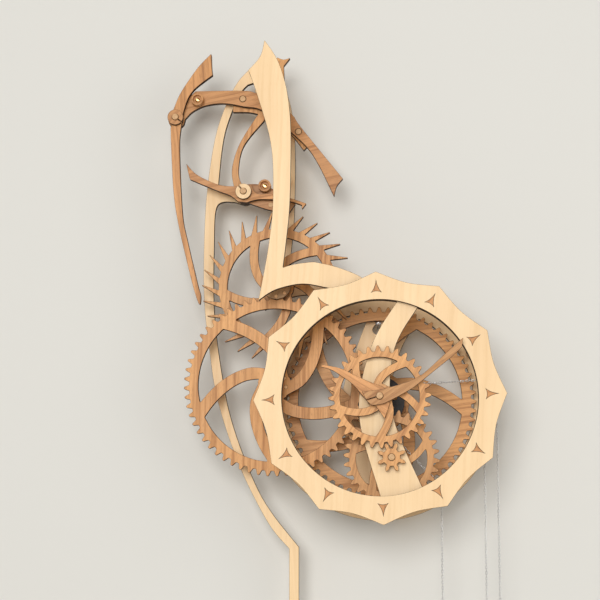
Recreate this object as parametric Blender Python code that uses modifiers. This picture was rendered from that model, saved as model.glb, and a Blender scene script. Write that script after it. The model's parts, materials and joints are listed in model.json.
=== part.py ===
"""A wall-hung clock cut from wood sheet, driven by a weight and let on by a grasshopper escapement.

All sizes are in millimetres, and MM turns them into metres. The origin is on the centre
arbor, at the wall. +X is to the right, +Z is up, and the front faces -Y. A "depth" is a distance
out from the wall. Angles are in degrees, anticlockwise from +X as seen from the front.
"""

import math

import bmesh
import bpy
from mathutils import Matrix

MM = 0.001

# Sheet, dowels and fits
SHEET = 6.0  # thickness of every flat wooden piece
HAND_SHEET = 3.0
GAP = 0.3  # between pieces that touch
LAYER_GAP = 1.0  # between layers that pass each other
DOWEL_R = 3.2
HOLE_R = DOWEL_R + GAP
HOUR_PIPE_R = DOWEL_R + 2.6
HAND_SLIT = 0.8
HAND_END_R = 13.8  # from the centre to where the minute hand's slit opens

# Where each layer's back face lies, as a depth
WALL_BLOCK = 30.0
BACK_FRAME_AT = WALL_BLOCK + GAP
PENDULUM_AT = BACK_FRAME_AT + SHEET + LAYER_GAP
ANCHOR_AT = PENDULUM_AT + SHEET + GAP
ARM_AT = ANCHOR_AT + SHEET + GAP
PALLET_AT = ARM_AT + SHEET + LAYER_GAP
GREAT_AT = PENDULUM_AT + SHEET + LAYER_GAP
RATCHET_AT = GREAT_AT + SHEET + GAP
THIRD_AT = PALLET_AT + SHEET + 3.0
MINUTE_AT = 95.0
FRONT_FRAME_AT = 104.0
DIAL_AT = FRONT_FRAME_AT + SHEET + GAP
HOUR_AT = FRONT_FRAME_AT + SHEET + 2.0
HOUR_HAND_AT = HOUR_AT + SHEET + 1.5
MINUTE_HAND_AT = HOUR_HAND_AT + HAND_SHEET + 1.5
CENTRE_TIP = MINUTE_HAND_AT + HAND_SHEET + 4.0
RATCHET = 3.0
CHAIN_WHEEL = 9.4  # width over its flanges
CHAIN_AT = RATCHET_AT + RATCHET + GAP + CHAIN_WHEEL / 2  # the chain's own plane

# Gearing: one module for the whole clock
MODULE = 3.0
GREAT_TEETH = 64
THIRD_TEETH = 60
ESCAPE_TEETH = 30
MINUTE_TEETH = 30
HOUR_TEETH = 32
LEAVES = 8  # lantern pinions and the minute pinion
CANNON_TEETH = 10
PRESSURE_ANGLE = math.radians(24)
BACKLASH = 0.7
ADDENDUM = 0.8 * MODULE
DEDENDUM = 1.1 * MODULE
PIN_R = 1.8
LANTERN_DISC_R = 15.0
LANTERN_DISC = 4.0
ESCAPE_TIP_R = 78.3
ESCAPE_ROOT_R = 61.0
ESCAPE_LEAN = 7.5  # how far a tip leans ahead of its foot

GREAT_PHASE = 0.1
THIRD_PHASE = 1.8
ESCAPE_PHASE = -1.7
MINUTE_PHASE = -3.6
HOUR_PHASE = 1.7

THIRD_DIRECTION = 171.3
ESCAPE_DIRECTION = 88.7
MINUTE_DIRECTION = -79.4

# Wheel bodies
SPOKES = 5
SPOKE_W = 12.0
SPOKE_SWEEP = 0.75  # radians per e-fold of radius, an equiangular spiral

# Dial and frames
DIAL_OPEN_R = 96.5
DIAL_TIP_R = 124.3
DIAL_VALLEY_R = 116.3
DIAL_POINTS = 12
DIAL_TURN = 1.35
FRONT_RING_R = 114.5
BACK_RING_R = 120.0
PILLAR_R = 6.0
PILLAR_ANGLES = (28.0, -28.0, -104.0)
PILLAR_RING_R = 107.5
HORN_PILLAR = (-97.5, 235.0)

# Escapement
PENDULUM_AXIS = (-96.5, 297.0)
ENTRY_PIVOT = (-212.2, 299.1)
EXIT_PIVOT = (-140.0, 218.6)
ENTRY_CUP = (-189.7, 319.2)
EXIT_CUP = (-118.2, 225.2)
COLLAR_R = 8.2
COLLAR = 4.5
CUP_R = 6.5
CUP_BORE_R = 4.5
CUP = 8.0
PEGS = ((-142.2, 320.9), (-83.3, 284.4))
PEG_R = 3.1
PEG_HOLE_R = PEG_R + GAP + 0.1

# Pendulum below the clock
STRIP_END = -600.0
STRIP_X = -88.4
STRIP_W = 9.8
ROD_R = 2.5
FERRULE_R = 8.0
FERRULE = 26.0
ROD_END = -742.0
BOB_R = 34.0
BOB = 15.0
BOB_Z = -684.0
NUT_R = 9.0
NUT = 6.0

# Chain, pulleys and weights
CHAIN_R = 0.8
CHAIN_WHEEL_R = 15.0  # radius of the chain's centre line round its wheel
CHAIN_FLANGE_R = 25.0
PULLEY_R = 6.4
PULLEY_RIM_R = 8.4
PULLEY = 7.0
FEED_X = 117.8
RETURN_X = 104.6
SLACK_X = 61.0
FEED_PULLEY_Z = 15.5
SLACK_PULLEY_Z = -88.0
HOOK_Z = -38.0
WEIGHT_PULLEY_Z = -520.0
WEIGHT_R = 24.0
WEIGHT_TOP = -545.0
WEIGHT_LENGTH = 150.0
COUNTER_R = 9.0
COUNTER_TOP = -780.0
COUNTER_LENGTH = 40.0


def polar(radius, angle, centre=(0.0, 0.0)):
    turn = math.radians(angle)
    return (centre[0] + radius * math.cos(turn), centre[1] + radius * math.sin(turn))


THIRD = polar(MODULE * (GREAT_TEETH + LEAVES) / 2, THIRD_DIRECTION)
ESCAPE = polar(MODULE * (THIRD_TEETH + LEAVES) / 2, ESCAPE_DIRECTION, THIRD)
MINUTE = polar(MODULE * (HOUR_TEETH + LEAVES) / 2, MINUTE_DIRECTION)
FEED_PULLEY = (FEED_X - PULLEY_R, FEED_PULLEY_Z)
SLACK_PULLEY = (SLACK_X - PULLEY_R, SLACK_PULLEY_Z)
WEIGHT_PULLEY = ((FEED_X + RETURN_X) / 2, WEIGHT_PULLEY_Z)

# The axis of each body that moves, and the body that carries it
AXES = {
    "frame": ((0.0, 0.0), None),
    "centre": ((0.0, 0.0), "frame"),
    "chain_drive": ((0.0, 0.0), "centre"),
    "third": (THIRD, "frame"),
    "escape": (ESCAPE, "frame"),
    "minute_work": (MINUTE, "frame"),
    "hour_work": ((0.0, 0.0), "frame"),
    "pendulum": (PENDULUM_AXIS, "frame"),
    "entry": (ENTRY_PIVOT, "pendulum"),
    "exit": (EXIT_PIVOT, "pendulum"),
    "bob": ((STRIP_X, BOB_Z), "pendulum"),
    "feed_pulley": (FEED_PULLEY, "frame"),
    "slack_pulley": (SLACK_PULLEY, "frame"),
    "weight": (WEIGHT_PULLEY, "frame"),
    "weight_pulley": (WEIGHT_PULLEY, "weight"),
    "counterweight": ((SLACK_X, COUNTER_TOP), "frame"),
}

FINISHES = {
    "maple": ((0.93, 0.76, 0.53), 0.45, 0.0),
    "cherry": ((0.58, 0.33, 0.18), 0.5, 0.0),
    "walnut": ((0.36, 0.19, 0.11), 0.5, 0.0),
    "oak_peg": ((0.70, 0.50, 0.33), 0.55, 0.0),
    "black": ((0.03, 0.03, 0.03), 0.45, 0.0),
    "brass": ((0.75, 0.56, 0.25), 0.3, 1.0),
    "steel": ((0.62, 0.62, 0.62), 0.3, 1.0),
}


# ---------------------------------------------------------------- outlines


def arc(centre, radius, start, end, count):
    """Points along a round stretch, both ends included."""
    return [polar(radius, start + (end - start) * i / count, centre) for i in range(count + 1)]


def circle(centre, radius, count=16):
    return arc(centre, radius, 0, 360, count)[:-1]


def smooth(points, steps=3):
    """A smooth run through the points: a Catmull-Rom curve, both ends included."""
    run = []
    for i in range(len(points) - 1):
        p0 = points[max(i - 1, 0)]
        p1, p2 = points[i], points[i + 1]
        p3 = points[min(i + 2, len(points) - 1)]
        for k in range(steps):
            t = k / steps
            run.append(
                tuple(
                    0.5
                    * (
                        2 * b
                        + (c - a) * t
                        + (2 * a - 5 * b + 4 * c - d) * t**2
                        + (3 * b - a - 3 * c + d) * t**3
                    )
                    for a, b, c, d in zip(p0, p1, p2, p3)
                )
            )
    return run + [points[-1]]


def joined(*runs):
    """One closed outline from runs laid end to end, with doubled points dropped."""
    outline = []
    for run in runs:
        for point in run:
            if not outline or math.dist(point, outline[-1]) > 0.05:
                outline.append(point)
    if math.dist(outline[0], outline[-1]) < 0.05:
        outline.pop()
    return outline


def mesh_phase(direction, phase, teeth, leaves):
    """The angle of one leaf of a pinion that meshes with a wheel whose tooth is at phase."""
    part = ((direction - phase) * teeth / 360) % 1
    return direction + 180 - (0.5 - part) * 360 / leaves


def gear(centre, teeth, phase):
    """An involute gear's outline."""
    pitch_r = MODULE * teeth / 2
    base_r = pitch_r * math.cos(PRESSURE_ANGLE)
    half = (math.pi * MODULE / 2 - BACKLASH) / (2 * pitch_r)

    def involute(radius):
        alpha = math.acos(min(base_r / radius, 1.0))
        return math.tan(alpha) - alpha

    def half_angle(radius):
        return math.degrees(half + involute(pitch_r) - involute(max(radius, base_r)))

    radii = (pitch_r - DEDENDUM, pitch_r, pitch_r + ADDENDUM)
    outline = []
    for i in range(teeth):
        middle = phase + 360 * i / teeth
        outline += [polar(r, middle - half_angle(r), centre) for r in radii]
        outline += [polar(r, middle + half_angle(r), centre) for r in reversed(radii)]
    return outline


def lantern_gear(centre, teeth, phase):
    """The outline of a wheel that drives round pins: blunt teeth with slim tips."""
    pitch_r = MODULE * teeth / 2
    flank = ((-3.0, 3.0), (2.3, 1.0))
    outline = []
    for i in range(teeth):
        middle = phase + 360 * i / teeth
        for rise, half in flank:
            radius = pitch_r + rise
            outline.append(polar(radius, middle - math.degrees(half / radius), centre))
        for rise, half in reversed(flank):
            radius = pitch_r + rise
            outline.append(polar(radius, middle + math.degrees(half / radius), centre))
    return outline


def spoke_windows(centre, hub_r, rim_r, first, way, width=SPOKE_W, steps=5):
    """The openings between spokes that sweep outwards as equiangular spirals.

    The first spoke meets the rim at the angle first, and way is 1 where the spokes turn
    anticlockwise on their way out and -1 where they turn clockwise.
    """

    def edge(radius, side):
        middle = first + way * math.degrees(SPOKE_SWEEP * math.log(radius / rim_r))
        half = math.degrees(width / 2 * math.hypot(1, SPOKE_SWEEP) / radius)
        return middle + side * half

    windows = []
    for i in range(SPOKES):
        turn = 360 * i / SPOKES
        following = turn + 360 / SPOKES
        radii = [hub_r + (rim_r - hub_r) * k / steps for k in range(steps + 1)]
        out = [polar(r, edge(r, 1) + turn, centre) for r in radii]
        back = [polar(r, edge(r, -1) + following, centre) for r in reversed(radii)]
        rim = arc(centre, rim_r, edge(rim_r, 1) + turn, edge(rim_r, -1) + following, 6)
        hub = arc(centre, hub_r, edge(hub_r, -1) + following, edge(hub_r, 1) + turn, 3)
        windows.append(joined(out, rim, back, hub))
    return windows


# ---------------------------------------------------------------- objects


def start():
    for item in list(bpy.data.objects):
        bpy.data.objects.remove(item, do_unlink=True)
    for name in ("wall_clock", "cutters"):
        bpy.context.scene.collection.children.link(bpy.data.collections.new(name))
    for name, (colour, roughness, metallic) in FINISHES.items():
        material = bpy.data.materials.new(name)
        material.use_nodes = True
        shader = material.node_tree.nodes["Principled BSDF"]
        shader.inputs["Base Color"].default_value = (*colour, 1.0)
        shader.inputs["Roughness"].default_value = roughness
        shader.inputs["Metallic"].default_value = metallic
    for body, (axis, carrier) in AXES.items():
        empty = bpy.data.objects.new("axis_" + body, None)
        bpy.data.collections["wall_clock"].objects.link(empty)
        origin = AXES[carrier][0] if carrier else (0.0, 0.0)
        empty.location = ((axis[0] - origin[0]) * MM, 0.0, (axis[1] - origin[1]) * MM)
        if carrier:
            empty.parent = bpy.data.objects["axis_" + carrier]


def place(name, data, body, depth, finish):
    """A new object on a body's axis. Its own Z points out from the wall."""
    item = bpy.data.objects.new(name, data)
    bpy.data.collections["wall_clock"].objects.link(item)
    item.parent = bpy.data.objects["axis_" + body]
    item.location = (0.0, -depth * MM, 0.0)
    item.rotation_euler = (math.pi / 2, 0.0, 0.0)
    data.materials.append(bpy.data.materials[finish])
    return item


def plate(name, body, back, outlines, finish, thick=SHEET):
    """A flat piece: the first outline is its edge, and the others are holes."""
    curve = bpy.data.curves.new(name, "CURVE")
    curve.dimensions = "2D"
    curve.fill_mode = "BOTH"
    curve.extrude = thick / 2 * MM
    origin = AXES[body][0]
    for outline in outlines:
        spline = curve.splines.new("POLY")
        spline.points.add(len(outline) - 1)
        spline.use_cyclic_u = True
        for point, (x, z) in zip(spline.points, outline):
            point.co = ((x - origin[0]) * MM, (z - origin[1]) * MM, 0.0, 1.0)
    return place(name, curve, body, back + thick / 2, finish)


def rod_mesh(name, rods, sides=16):
    """Cylinders along Z, each given as (x, y, radius, start, end) in millimetres."""
    bm = bmesh.new()
    for x, y, radius, first, last in rods:
        made = bmesh.ops.create_cone(
            bm,
            cap_ends=True,
            segments=sides,
            radius1=radius * MM,
            radius2=radius * MM,
            depth=(last - first) * MM,
        )
        shift = (x * MM, y * MM, (first + last) / 2 * MM)
        bmesh.ops.translate(bm, verts=made["verts"], vec=shift)
    mesh = bpy.data.meshes.new(name)
    bm.to_mesh(mesh)
    bm.free()
    mesh.shade_smooth()
    mesh.set_sharp_from_angle(angle=math.radians(40))
    return mesh


def dowel(name, body, centre, first, last, radius, finish, sides=16):
    """A round rod that stands out from the wall between two depths."""
    origin = AXES[body][0]
    rod = (centre[0] - origin[0], centre[1] - origin[1], radius, first, last)
    return place(name, rod_mesh(name, [rod], sides), body, 0.0, finish)


def turned(name, body, centre, profile, finish, sides=24, closed=False, upright=None):
    """A turned piece. The profile runs down its outer side, as (radius, distance along the axis).

    The axis stands out from the wall, and distances are depths. With upright, which is then the
    depth of the axis, the axis is vertical and distances are heights above the centre.
    """
    origin = AXES[body][0]
    mesh = bpy.data.meshes.new(name)
    points = [(radius * MM, 0.0, along * MM) for radius, along in profile]
    edges = [(i, i + 1) for i in range(len(points) - 1)]
    if closed:
        edges.append((len(points) - 1, 0))
    mesh.from_pydata(points, edges, [])
    item = place(name, mesh, body, upright or 0.0, finish)
    item.location.x = (centre[0] - origin[0]) * MM
    item.location.z = (centre[1] - origin[1]) * MM
    if upright is not None:
        item.rotation_euler = (0.0, 0.0, 0.0)
    spin = item.modifiers.new("turn", "SCREW")
    spin.steps = sides
    spin.render_steps = sides
    spin.use_merge_vertices = True
    spin.merge_threshold = 0.00001
    spin.use_smooth_shade = False
    return item


def tube(name, body, centre, outer, inner, first, last, finish, sides=24):
    profile = [(outer, last), (outer, first), (inner, first), (inner, last)]
    return turned(name, body, centre, profile, finish, sides, closed=True)


def chain_run(name, body, route):
    """A stretch of chain as a thin tube through (x, z) points in the chain's plane."""
    curve = bpy.data.curves.new(name, "CURVE")
    curve.dimensions = "3D"
    curve.bevel_depth = CHAIN_R * MM
    curve.bevel_resolution = 1
    curve.use_fill_caps = True
    spline = curve.splines.new("POLY")
    spline.points.add(len(route) - 1)
    origin = AXES[body][0]
    for point, (x, z) in zip(spline.points, route):
        point.co = ((x - origin[0]) * MM, (z - origin[1]) * MM, 0.0, 1.0)
    return place(name, curve, body, CHAIN_AT, "steel")


def as_mesh(item):
    """The same piece as a mesh, with its caps welded, so that it can be cut."""
    bpy.context.view_layer.update()
    seen = item.evaluated_get(bpy.context.evaluated_depsgraph_get())
    mesh = bpy.data.meshes.new_from_object(seen)
    bm = bmesh.new()
    bm.from_mesh(mesh)
    bmesh.ops.remove_doubles(bm, verts=bm.verts, dist=0.00001)
    bm.to_mesh(mesh)
    bm.free()
    name = item.name
    item.name = name + "_outline"
    made = bpy.data.objects.new(name, mesh)
    bpy.data.collections["wall_clock"].objects.link(made)
    made.parent = item.parent
    made.location = item.location
    made.rotation_euler = item.rotation_euler
    bpy.data.objects.remove(item, do_unlink=True)
    return made


def boolean(item, operation, mesh):
    """Cut or join a piece with a mesh that is given in the same place and frame."""
    cutter = bpy.data.objects.new(item.name + "_" + operation.lower(), mesh)
    bpy.data.collections["cutters"].objects.link(cutter)
    cutter.parent = item.parent
    cutter.location = item.location
    cutter.rotation_euler = item.rotation_euler
    cutter.hide_render = True
    cutter.display_type = "WIRE"
    cut = item.modifiers.new(operation.lower(), "BOOLEAN")
    cut.operation = operation
    cut.object = cutter


# ---------------------------------------------------------------- frames

HORN_RIGHT = (
    (-115.0, 367.0),
    (-102.0, 346.5),
    (-92.8, 318.0),
    (-88.6, 286.0),
    (-87.8, 250.0),
    (-89.0, 194.0),
    (-92.1, 160.0),
    (-95.7, 130.2),
)
HORN_LEFT = (
    (-120.1, 97.2),
    (-111.6, 143.2),
    (-106.7, 181.5),
    (-105.6, 209.0),
    (-106.4, 242.2),
    (-110.2, 267.8),
    (-117.6, 294.3),
    (-126.5, 322.2),
    (-131.5, 335.4),
)
HORN_BARB = ((-131.5, 335.4), (-122.5, 345.2), (-117.9, 353.5), (-115.0, 367.0))
ARC_TOP = (
    (-95.7, 130.2),
    (-84.7, 133.4),
    (-67.0, 135.6),
    (-58.6, 134.5),
    (-42.3, 130.5),
    (-25.0, 123.9),
    (-16.0, 119.0),
    (-9.5, 115.2),
)
ARC_LOW = ((-41.0, 107.4), (-52.0, 109.6), (-76.6, 113.7), (-103.3, 107.9), (-120.1, 97.2))


def frame_outline(ring_r):
    """Horn, swept arc and ring as one edge, from the horn's tip down its right side."""

    def outside(points):
        return [point for point in points if math.hypot(*point) > ring_r + GAP]

    arc_top, arc_low = outside(smooth(ARC_TOP)), outside(smooth(ARC_LOW))
    top = math.degrees(math.atan2(arc_top[-1][1], arc_top[-1][0]))
    low = math.degrees(math.atan2(arc_low[0][1], arc_low[0][0]))
    return joined(
        smooth(HORN_RIGHT),
        arc_top,
        arc((0, 0), ring_r, top - 2, low - 358, 60),
        arc_low,
        smooth(HORN_LEFT),
        smooth(HORN_BARB),
    )


def frame_windows(left_edge, right_edge):
    """The two openings of a ring that a curved bar crosses. Edges run from top to bottom."""

    def angle(point):
        return math.degrees(math.atan2(point[1], point[0]))

    def reaching(edge):
        ends = [polar(DIAL_OPEN_R, angle(edge[0])), polar(DIAL_OPEN_R, angle(edge[-1]))]
        return ends[:1] + list(edge[1:-1]) + ends[1:]

    left_edge, right_edge = reaching(left_edge), reaching(right_edge)
    left = arc((0, 0), DIAL_OPEN_R, angle(left_edge[0]), angle(left_edge[-1]) + 360, 28)
    right = arc((0, 0), DIAL_OPEN_R, angle(right_edge[-1]), angle(right_edge[0]), 20)
    return [
        joined(left, smooth(left_edge[::-1])),
        joined(right, smooth(right_edge)),
    ]


def front_frame():
    left = ((18.0, 94.8), (-4.5, 58.5), (-18.5, 12.0), (-18.8, -30.0), (0.0, -96.5))
    right = ((38.0, 88.7), (16.5, 52.5), (10.1, 9.0), (17.0, -33.0), (40.5, -87.6))
    holes = [circle((0, 0), HOLE_R), circle(MINUTE, HOLE_R)]
    outlines = [frame_outline(FRONT_RING_R)] + frame_windows(left, right) + holes
    frame = as_mesh(plate("front_frame", "frame", FRONT_FRAME_AT, outlines, "maple"))
    depth = SHEET / 2
    sockets = [(x, z, HOLE_R, -depth - 1, 1.0) for x, z in (THIRD, ESCAPE, PENDULUM_AXIS)]
    boolean(frame, "DIFFERENCE", rod_mesh("front_sockets", sockets))


def back_frame():
    left = ((-9.0, 96.1), (-25.0, 55.0), (-39.5, 6.0), (-34.0, -43.0), (-12.0, -95.8))
    right = ((41.0, 87.4), (20.5, 52.0), (9.0, 0.0), (13.0, -40.0), (34.0, -90.3))
    keyhole = joined(arc((-1.1, 83.9), 2.6, -30, 210, 8), arc((-2.6, 76.2), 4.6, 140, 400, 10))
    holes = [circle(centre, HOLE_R) for centre in ((0, 0), THIRD, ESCAPE, PENDULUM_AXIS)]
    outlines = [frame_outline(BACK_RING_R)] + frame_windows(left, right) + holes + [keyhole]
    plate("back_frame", "frame", BACK_FRAME_AT, outlines, "maple")


def hanging():
    """Blocks between the back frame and the wall, and the screw that the clock hangs on."""
    head_at = BACK_FRAME_AT + SHEET + GAP
    profile = [(0.0, head_at + 2.2), (3.4, head_at + 0.8), (3.4, head_at), (2.1, head_at)]
    profile += [(2.1, 0.0), (0.0, 0.0)]
    turned("hanger_screw", "frame", (-1.1, 83.9), profile, "steel", 16)
    ring_r = (DIAL_OPEN_R + BACK_RING_R) / 2
    block = arc((0, 0), ring_r + 8, -86, -64, 8) + arc((0, 0), ring_r - 8, -64, -86, 8)
    plate("wall_block_lower", "frame", 0.0, [block], "maple", WALL_BLOCK)
    block = [(-104.0, 190.0), (-91.0, 190.0), (-91.0, 250.0), (-104.0, 250.0)]
    plate("wall_block_upper", "frame", 0.0, [block], "maple", WALL_BLOCK)


def pillars():
    first, last = BACK_FRAME_AT + SHEET + GAP, FRONT_FRAME_AT - GAP
    spots = [polar(PILLAR_RING_R, angle) for angle in PILLAR_ANGLES] + [HORN_PILLAR]
    for i, spot in enumerate(spots, 1):
        dowel("frame_pillar_%d" % i, "frame", spot, first, last, PILLAR_R, "maple")


def dial():
    step = 360 / DIAL_POINTS
    edge = []
    for i in range(DIAL_POINTS):
        tip = 90 + DIAL_TURN + i * step
        ends = polar(DIAL_TIP_R, tip), polar(DIAL_TIP_R, tip + step)
        middle = polar(DIAL_VALLEY_R, tip + step / 2)
        edge += smooth((ends[0], middle, ends[1]), 4)[:-1]
    outlines = [edge, circle((0, 0), DIAL_OPEN_R, 72)]
    plate("dial_ring", "frame", DIAL_AT, outlines, "maple")


# ---------------------------------------------------------------- going train


def lantern(name, body, centre, disc_at, pins_to, first_pin):
    """A lantern pinion: pins in a circle, held by a disc at one end."""
    outlines = [circle(centre, LANTERN_DISC_R, 24), circle(centre, HOLE_R)]
    disc = as_mesh(plate(name, body, disc_at, outlines, "oak_peg", LANTERN_DISC))
    middle = disc_at + LANTERN_DISC / 2
    ends = sorted((0.0, pins_to - middle))
    pitch_r = MODULE * LEAVES / 2
    spots = [polar(pitch_r, first_pin + 360 * i / LEAVES) for i in range(LEAVES)]
    pins = [(x, y, PIN_R, ends[0], ends[1]) for x, y in spots]
    boolean(disc, "UNION", rod_mesh(name + "_pins", pins, 8))


def centre_work():
    teeth = lantern_gear((0, 0), GREAT_TEETH, GREAT_PHASE)
    windows = spoke_windows((0, 0), 30.0, 84.0, -4.0, -1)
    holes = [circle((0, 0), HOLE_R)]
    plate("great_wheel", "centre", GREAT_AT, [teeth] + windows + holes, "cherry")
    dowel("centre_arbor", "centre", (0, 0), WALL_BLOCK + 1, CENTRE_TIP, DOWEL_R, "oak_peg")
    cannon_phase = mesh_phase(MINUTE_DIRECTION + 180, MINUTE_PHASE, MINUTE_TEETH, CANNON_TEETH)
    cannon = [gear((0, 0), CANNON_TEETH, cannon_phase), circle((0, 0), HOLE_R)]
    plate("cannon_pinion", "centre", MINUTE_AT, cannon, "cherry")
    click = joined(arc((22.0, -7.5), 4.5, -120, 60, 6), [(19.4, 4.0), (18.3, 3.6)])
    plate("click", "centre", RATCHET_AT, [click], "walnut", RATCHET)


def chain_drive():
    ratchet = []
    for i in range(18):
        ratchet += [polar(14.0, 20 * i), polar(17.5, 20 * i + 2)]
    outlines = [ratchet, circle((0, 0), HOLE_R)]
    plate("ratchet_wheel", "chain_drive", RATCHET_AT, outlines, "black", RATCHET)
    back, front = CHAIN_AT - CHAIN_WHEEL / 2, CHAIN_AT + CHAIN_WHEEL / 2
    floor_r = CHAIN_WHEEL_R - CHAIN_R - GAP
    profile = [
        (HOLE_R, front),
        (CHAIN_FLANGE_R, front),
        (CHAIN_FLANGE_R, front - 1.5),
        (floor_r, CHAIN_AT + 1.8),
        (floor_r, CHAIN_AT - 1.8),
        (CHAIN_FLANGE_R, back + 1.5),
        (CHAIN_FLANGE_R, back),
        (HOLE_R, back),
    ]
    turned("chain_wheel", "chain_drive", (0, 0), profile, "black", 32, closed=True)


def third_work():
    teeth = lantern_gear(THIRD, THIRD_TEETH, THIRD_PHASE)
    windows = spoke_windows(THIRD, 17.0, 78.0, 199.0, 1)
    plate("third_wheel", "third", THIRD_AT, [teeth] + windows + [circle(THIRD, HOLE_R)], "cherry")
    disc_at = BACK_FRAME_AT + SHEET + 0.7
    pin = mesh_phase(THIRD_DIRECTION, GREAT_PHASE, GREAT_TEETH, LEAVES)
    lantern("third_pinion", "third", THIRD, disc_at, THIRD_AT - GAP, pin)
    last = FRONT_FRAME_AT + SHEET / 2
    dowel("third_arbor", "third", THIRD, WALL_BLOCK + 1, last, DOWEL_R, "oak_peg")


def escape_work():
    foot = 360 / ESCAPE_TEETH / 4
    teeth = []
    for i in range(ESCAPE_TEETH):
        tip = ESCAPE_PHASE + 360 * i / ESCAPE_TEETH
        base = tip + ESCAPE_LEAN
        teeth += [
            polar(ESCAPE_ROOT_R, base - foot, ESCAPE),
            polar(ESCAPE_TIP_R, tip - 0.3, ESCAPE),
            polar(ESCAPE_TIP_R, tip + 0.3, ESCAPE),
            polar(ESCAPE_ROOT_R, base + foot, ESCAPE),
        ]
    windows = spoke_windows(ESCAPE, 17.0, 52.0, 45.0, -1, 9.0)
    outlines = [teeth] + windows + [circle(ESCAPE, HOLE_R)]
    plate("escape_wheel", "escape", PALLET_AT, outlines, "cherry")
    disc_at = THIRD_AT + SHEET + 2.0
    pin = mesh_phase(ESCAPE_DIRECTION, THIRD_PHASE, THIRD_TEETH, LEAVES)
    lantern("escape_pinion", "escape", ESCAPE, disc_at, PALLET_AT + SHEET + GAP, pin)
    last = FRONT_FRAME_AT + SHEET / 2
    dowel("escape_arbor", "escape", ESCAPE, WALL_BLOCK + 1, last, DOWEL_R, "oak_peg")


# ---------------------------------------------------------------- motion work and hands


def motion_work():
    teeth = gear(MINUTE, MINUTE_TEETH, MINUTE_PHASE)
    windows = spoke_windows(MINUTE, 13.0, 35.0, 22.0, 1, 7.0, 4)
    outlines = [teeth] + windows + [circle(MINUTE, HOLE_R)]
    plate("minute_wheel", "minute_work", MINUTE_AT, outlines, "cherry")
    leaf = mesh_phase(MINUTE_DIRECTION, HOUR_PHASE, HOUR_TEETH, LEAVES)
    leaves = [gear(MINUTE, LEAVES, leaf), circle(MINUTE, HOLE_R)]
    plate("minute_pinion", "minute_work", HOUR_AT, leaves, "cherry")
    last = HOUR_AT + SHEET + 3.0
    dowel("minute_arbor", "minute_work", MINUTE, MINUTE_AT - 2.0, last, DOWEL_R, "oak_peg")

    teeth = gear((0, 0), HOUR_TEETH, HOUR_PHASE)
    windows = spoke_windows((0, 0), 13.0, 39.0, 55.0, -1, 7.5, 4)
    bore = circle((0, 0), HOUR_PIPE_R + GAP)
    plate("hour_wheel", "hour_work", HOUR_AT, [teeth] + windows + [bore], "cherry")
    first, last = FRONT_FRAME_AT + SHEET + GAP, MINUTE_HAND_AT - GAP
    tube("hour_pipe", "hour_work", (0, 0), HOUR_PIPE_R, HOLE_R, first, last, "oak_peg", 20)


def hour_hand():
    """A curved blade at ten o'clock, with a short pointed tail below the hub."""
    above = ((-55.7, 31.2), (-47.0, 29.7), (-37.1, 27.2), (-24.6, 21.0), (-11.0, 14.8), (3.0, 9.4))
    hub = ((3.0, 9.4), (9.0, 4.6), (10.2, -3.0), (9.0, -10.1))
    tail = (4.6, -21.9)
    below = ((-3.5, -9.8), (-10.3, -7.0), (-15.9, -0.1), (-22.1, 7.3), (-28.4, 13.6))
    below += ((-37.1, 19.8), (-47.0, 26.0), (-57.6, 29.1))
    edge = joined(smooth(above, 2), smooth(hub, 2), [tail], smooth(below, 2))
    bore = circle((0, 0), HOUR_PIPE_R + GAP)
    plate("hour_hand", "hour_work", HOUR_HAND_AT, [edge, bore], "walnut", HAND_SHEET)


def minute_hand():
    """A slender curved blade that clamps the arbor: its hub is slit from the hole to the end."""
    above = ((-17.1, 4.6), (-12.2, 4.8), (2.7, 6.6), (21.3, 11.7), (40.0, 19.7), (58.6, 35.9))
    above += ((82.1, 56.9),)
    below = ((80.3, 46.8), (71.0, 38.3), (58.6, 28.4), (40.0, 13.5), (30.0, 6.1), (14.5, -2.4))
    below += ((2.7, -7.8), (-7.8, -9.1))
    heading = 197.4
    gap = math.degrees(HAND_SLIT / 2 / HOLE_R)
    bore = arc((0, 0), HOLE_R, heading - gap, heading + gap - 360, 16)
    side = (math.sin(math.radians(heading)), -math.cos(math.radians(heading)))
    mouth = polar(HAND_END_R, heading)
    lips = [
        (mouth[0] + side[0] * way * HAND_SLIT / 2, mouth[1] + side[1] * way * HAND_SLIT / 2)
        for way in (1, -1)
    ]
    edge = joined(smooth(above, 2), smooth(below, 2), [lips[1]], bore[::-1], [lips[0]])
    plate("minute_hand", "centre", MINUTE_HAND_AT, [edge], "cherry", HAND_SHEET)


# ---------------------------------------------------------------- escapement and pendulum


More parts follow.
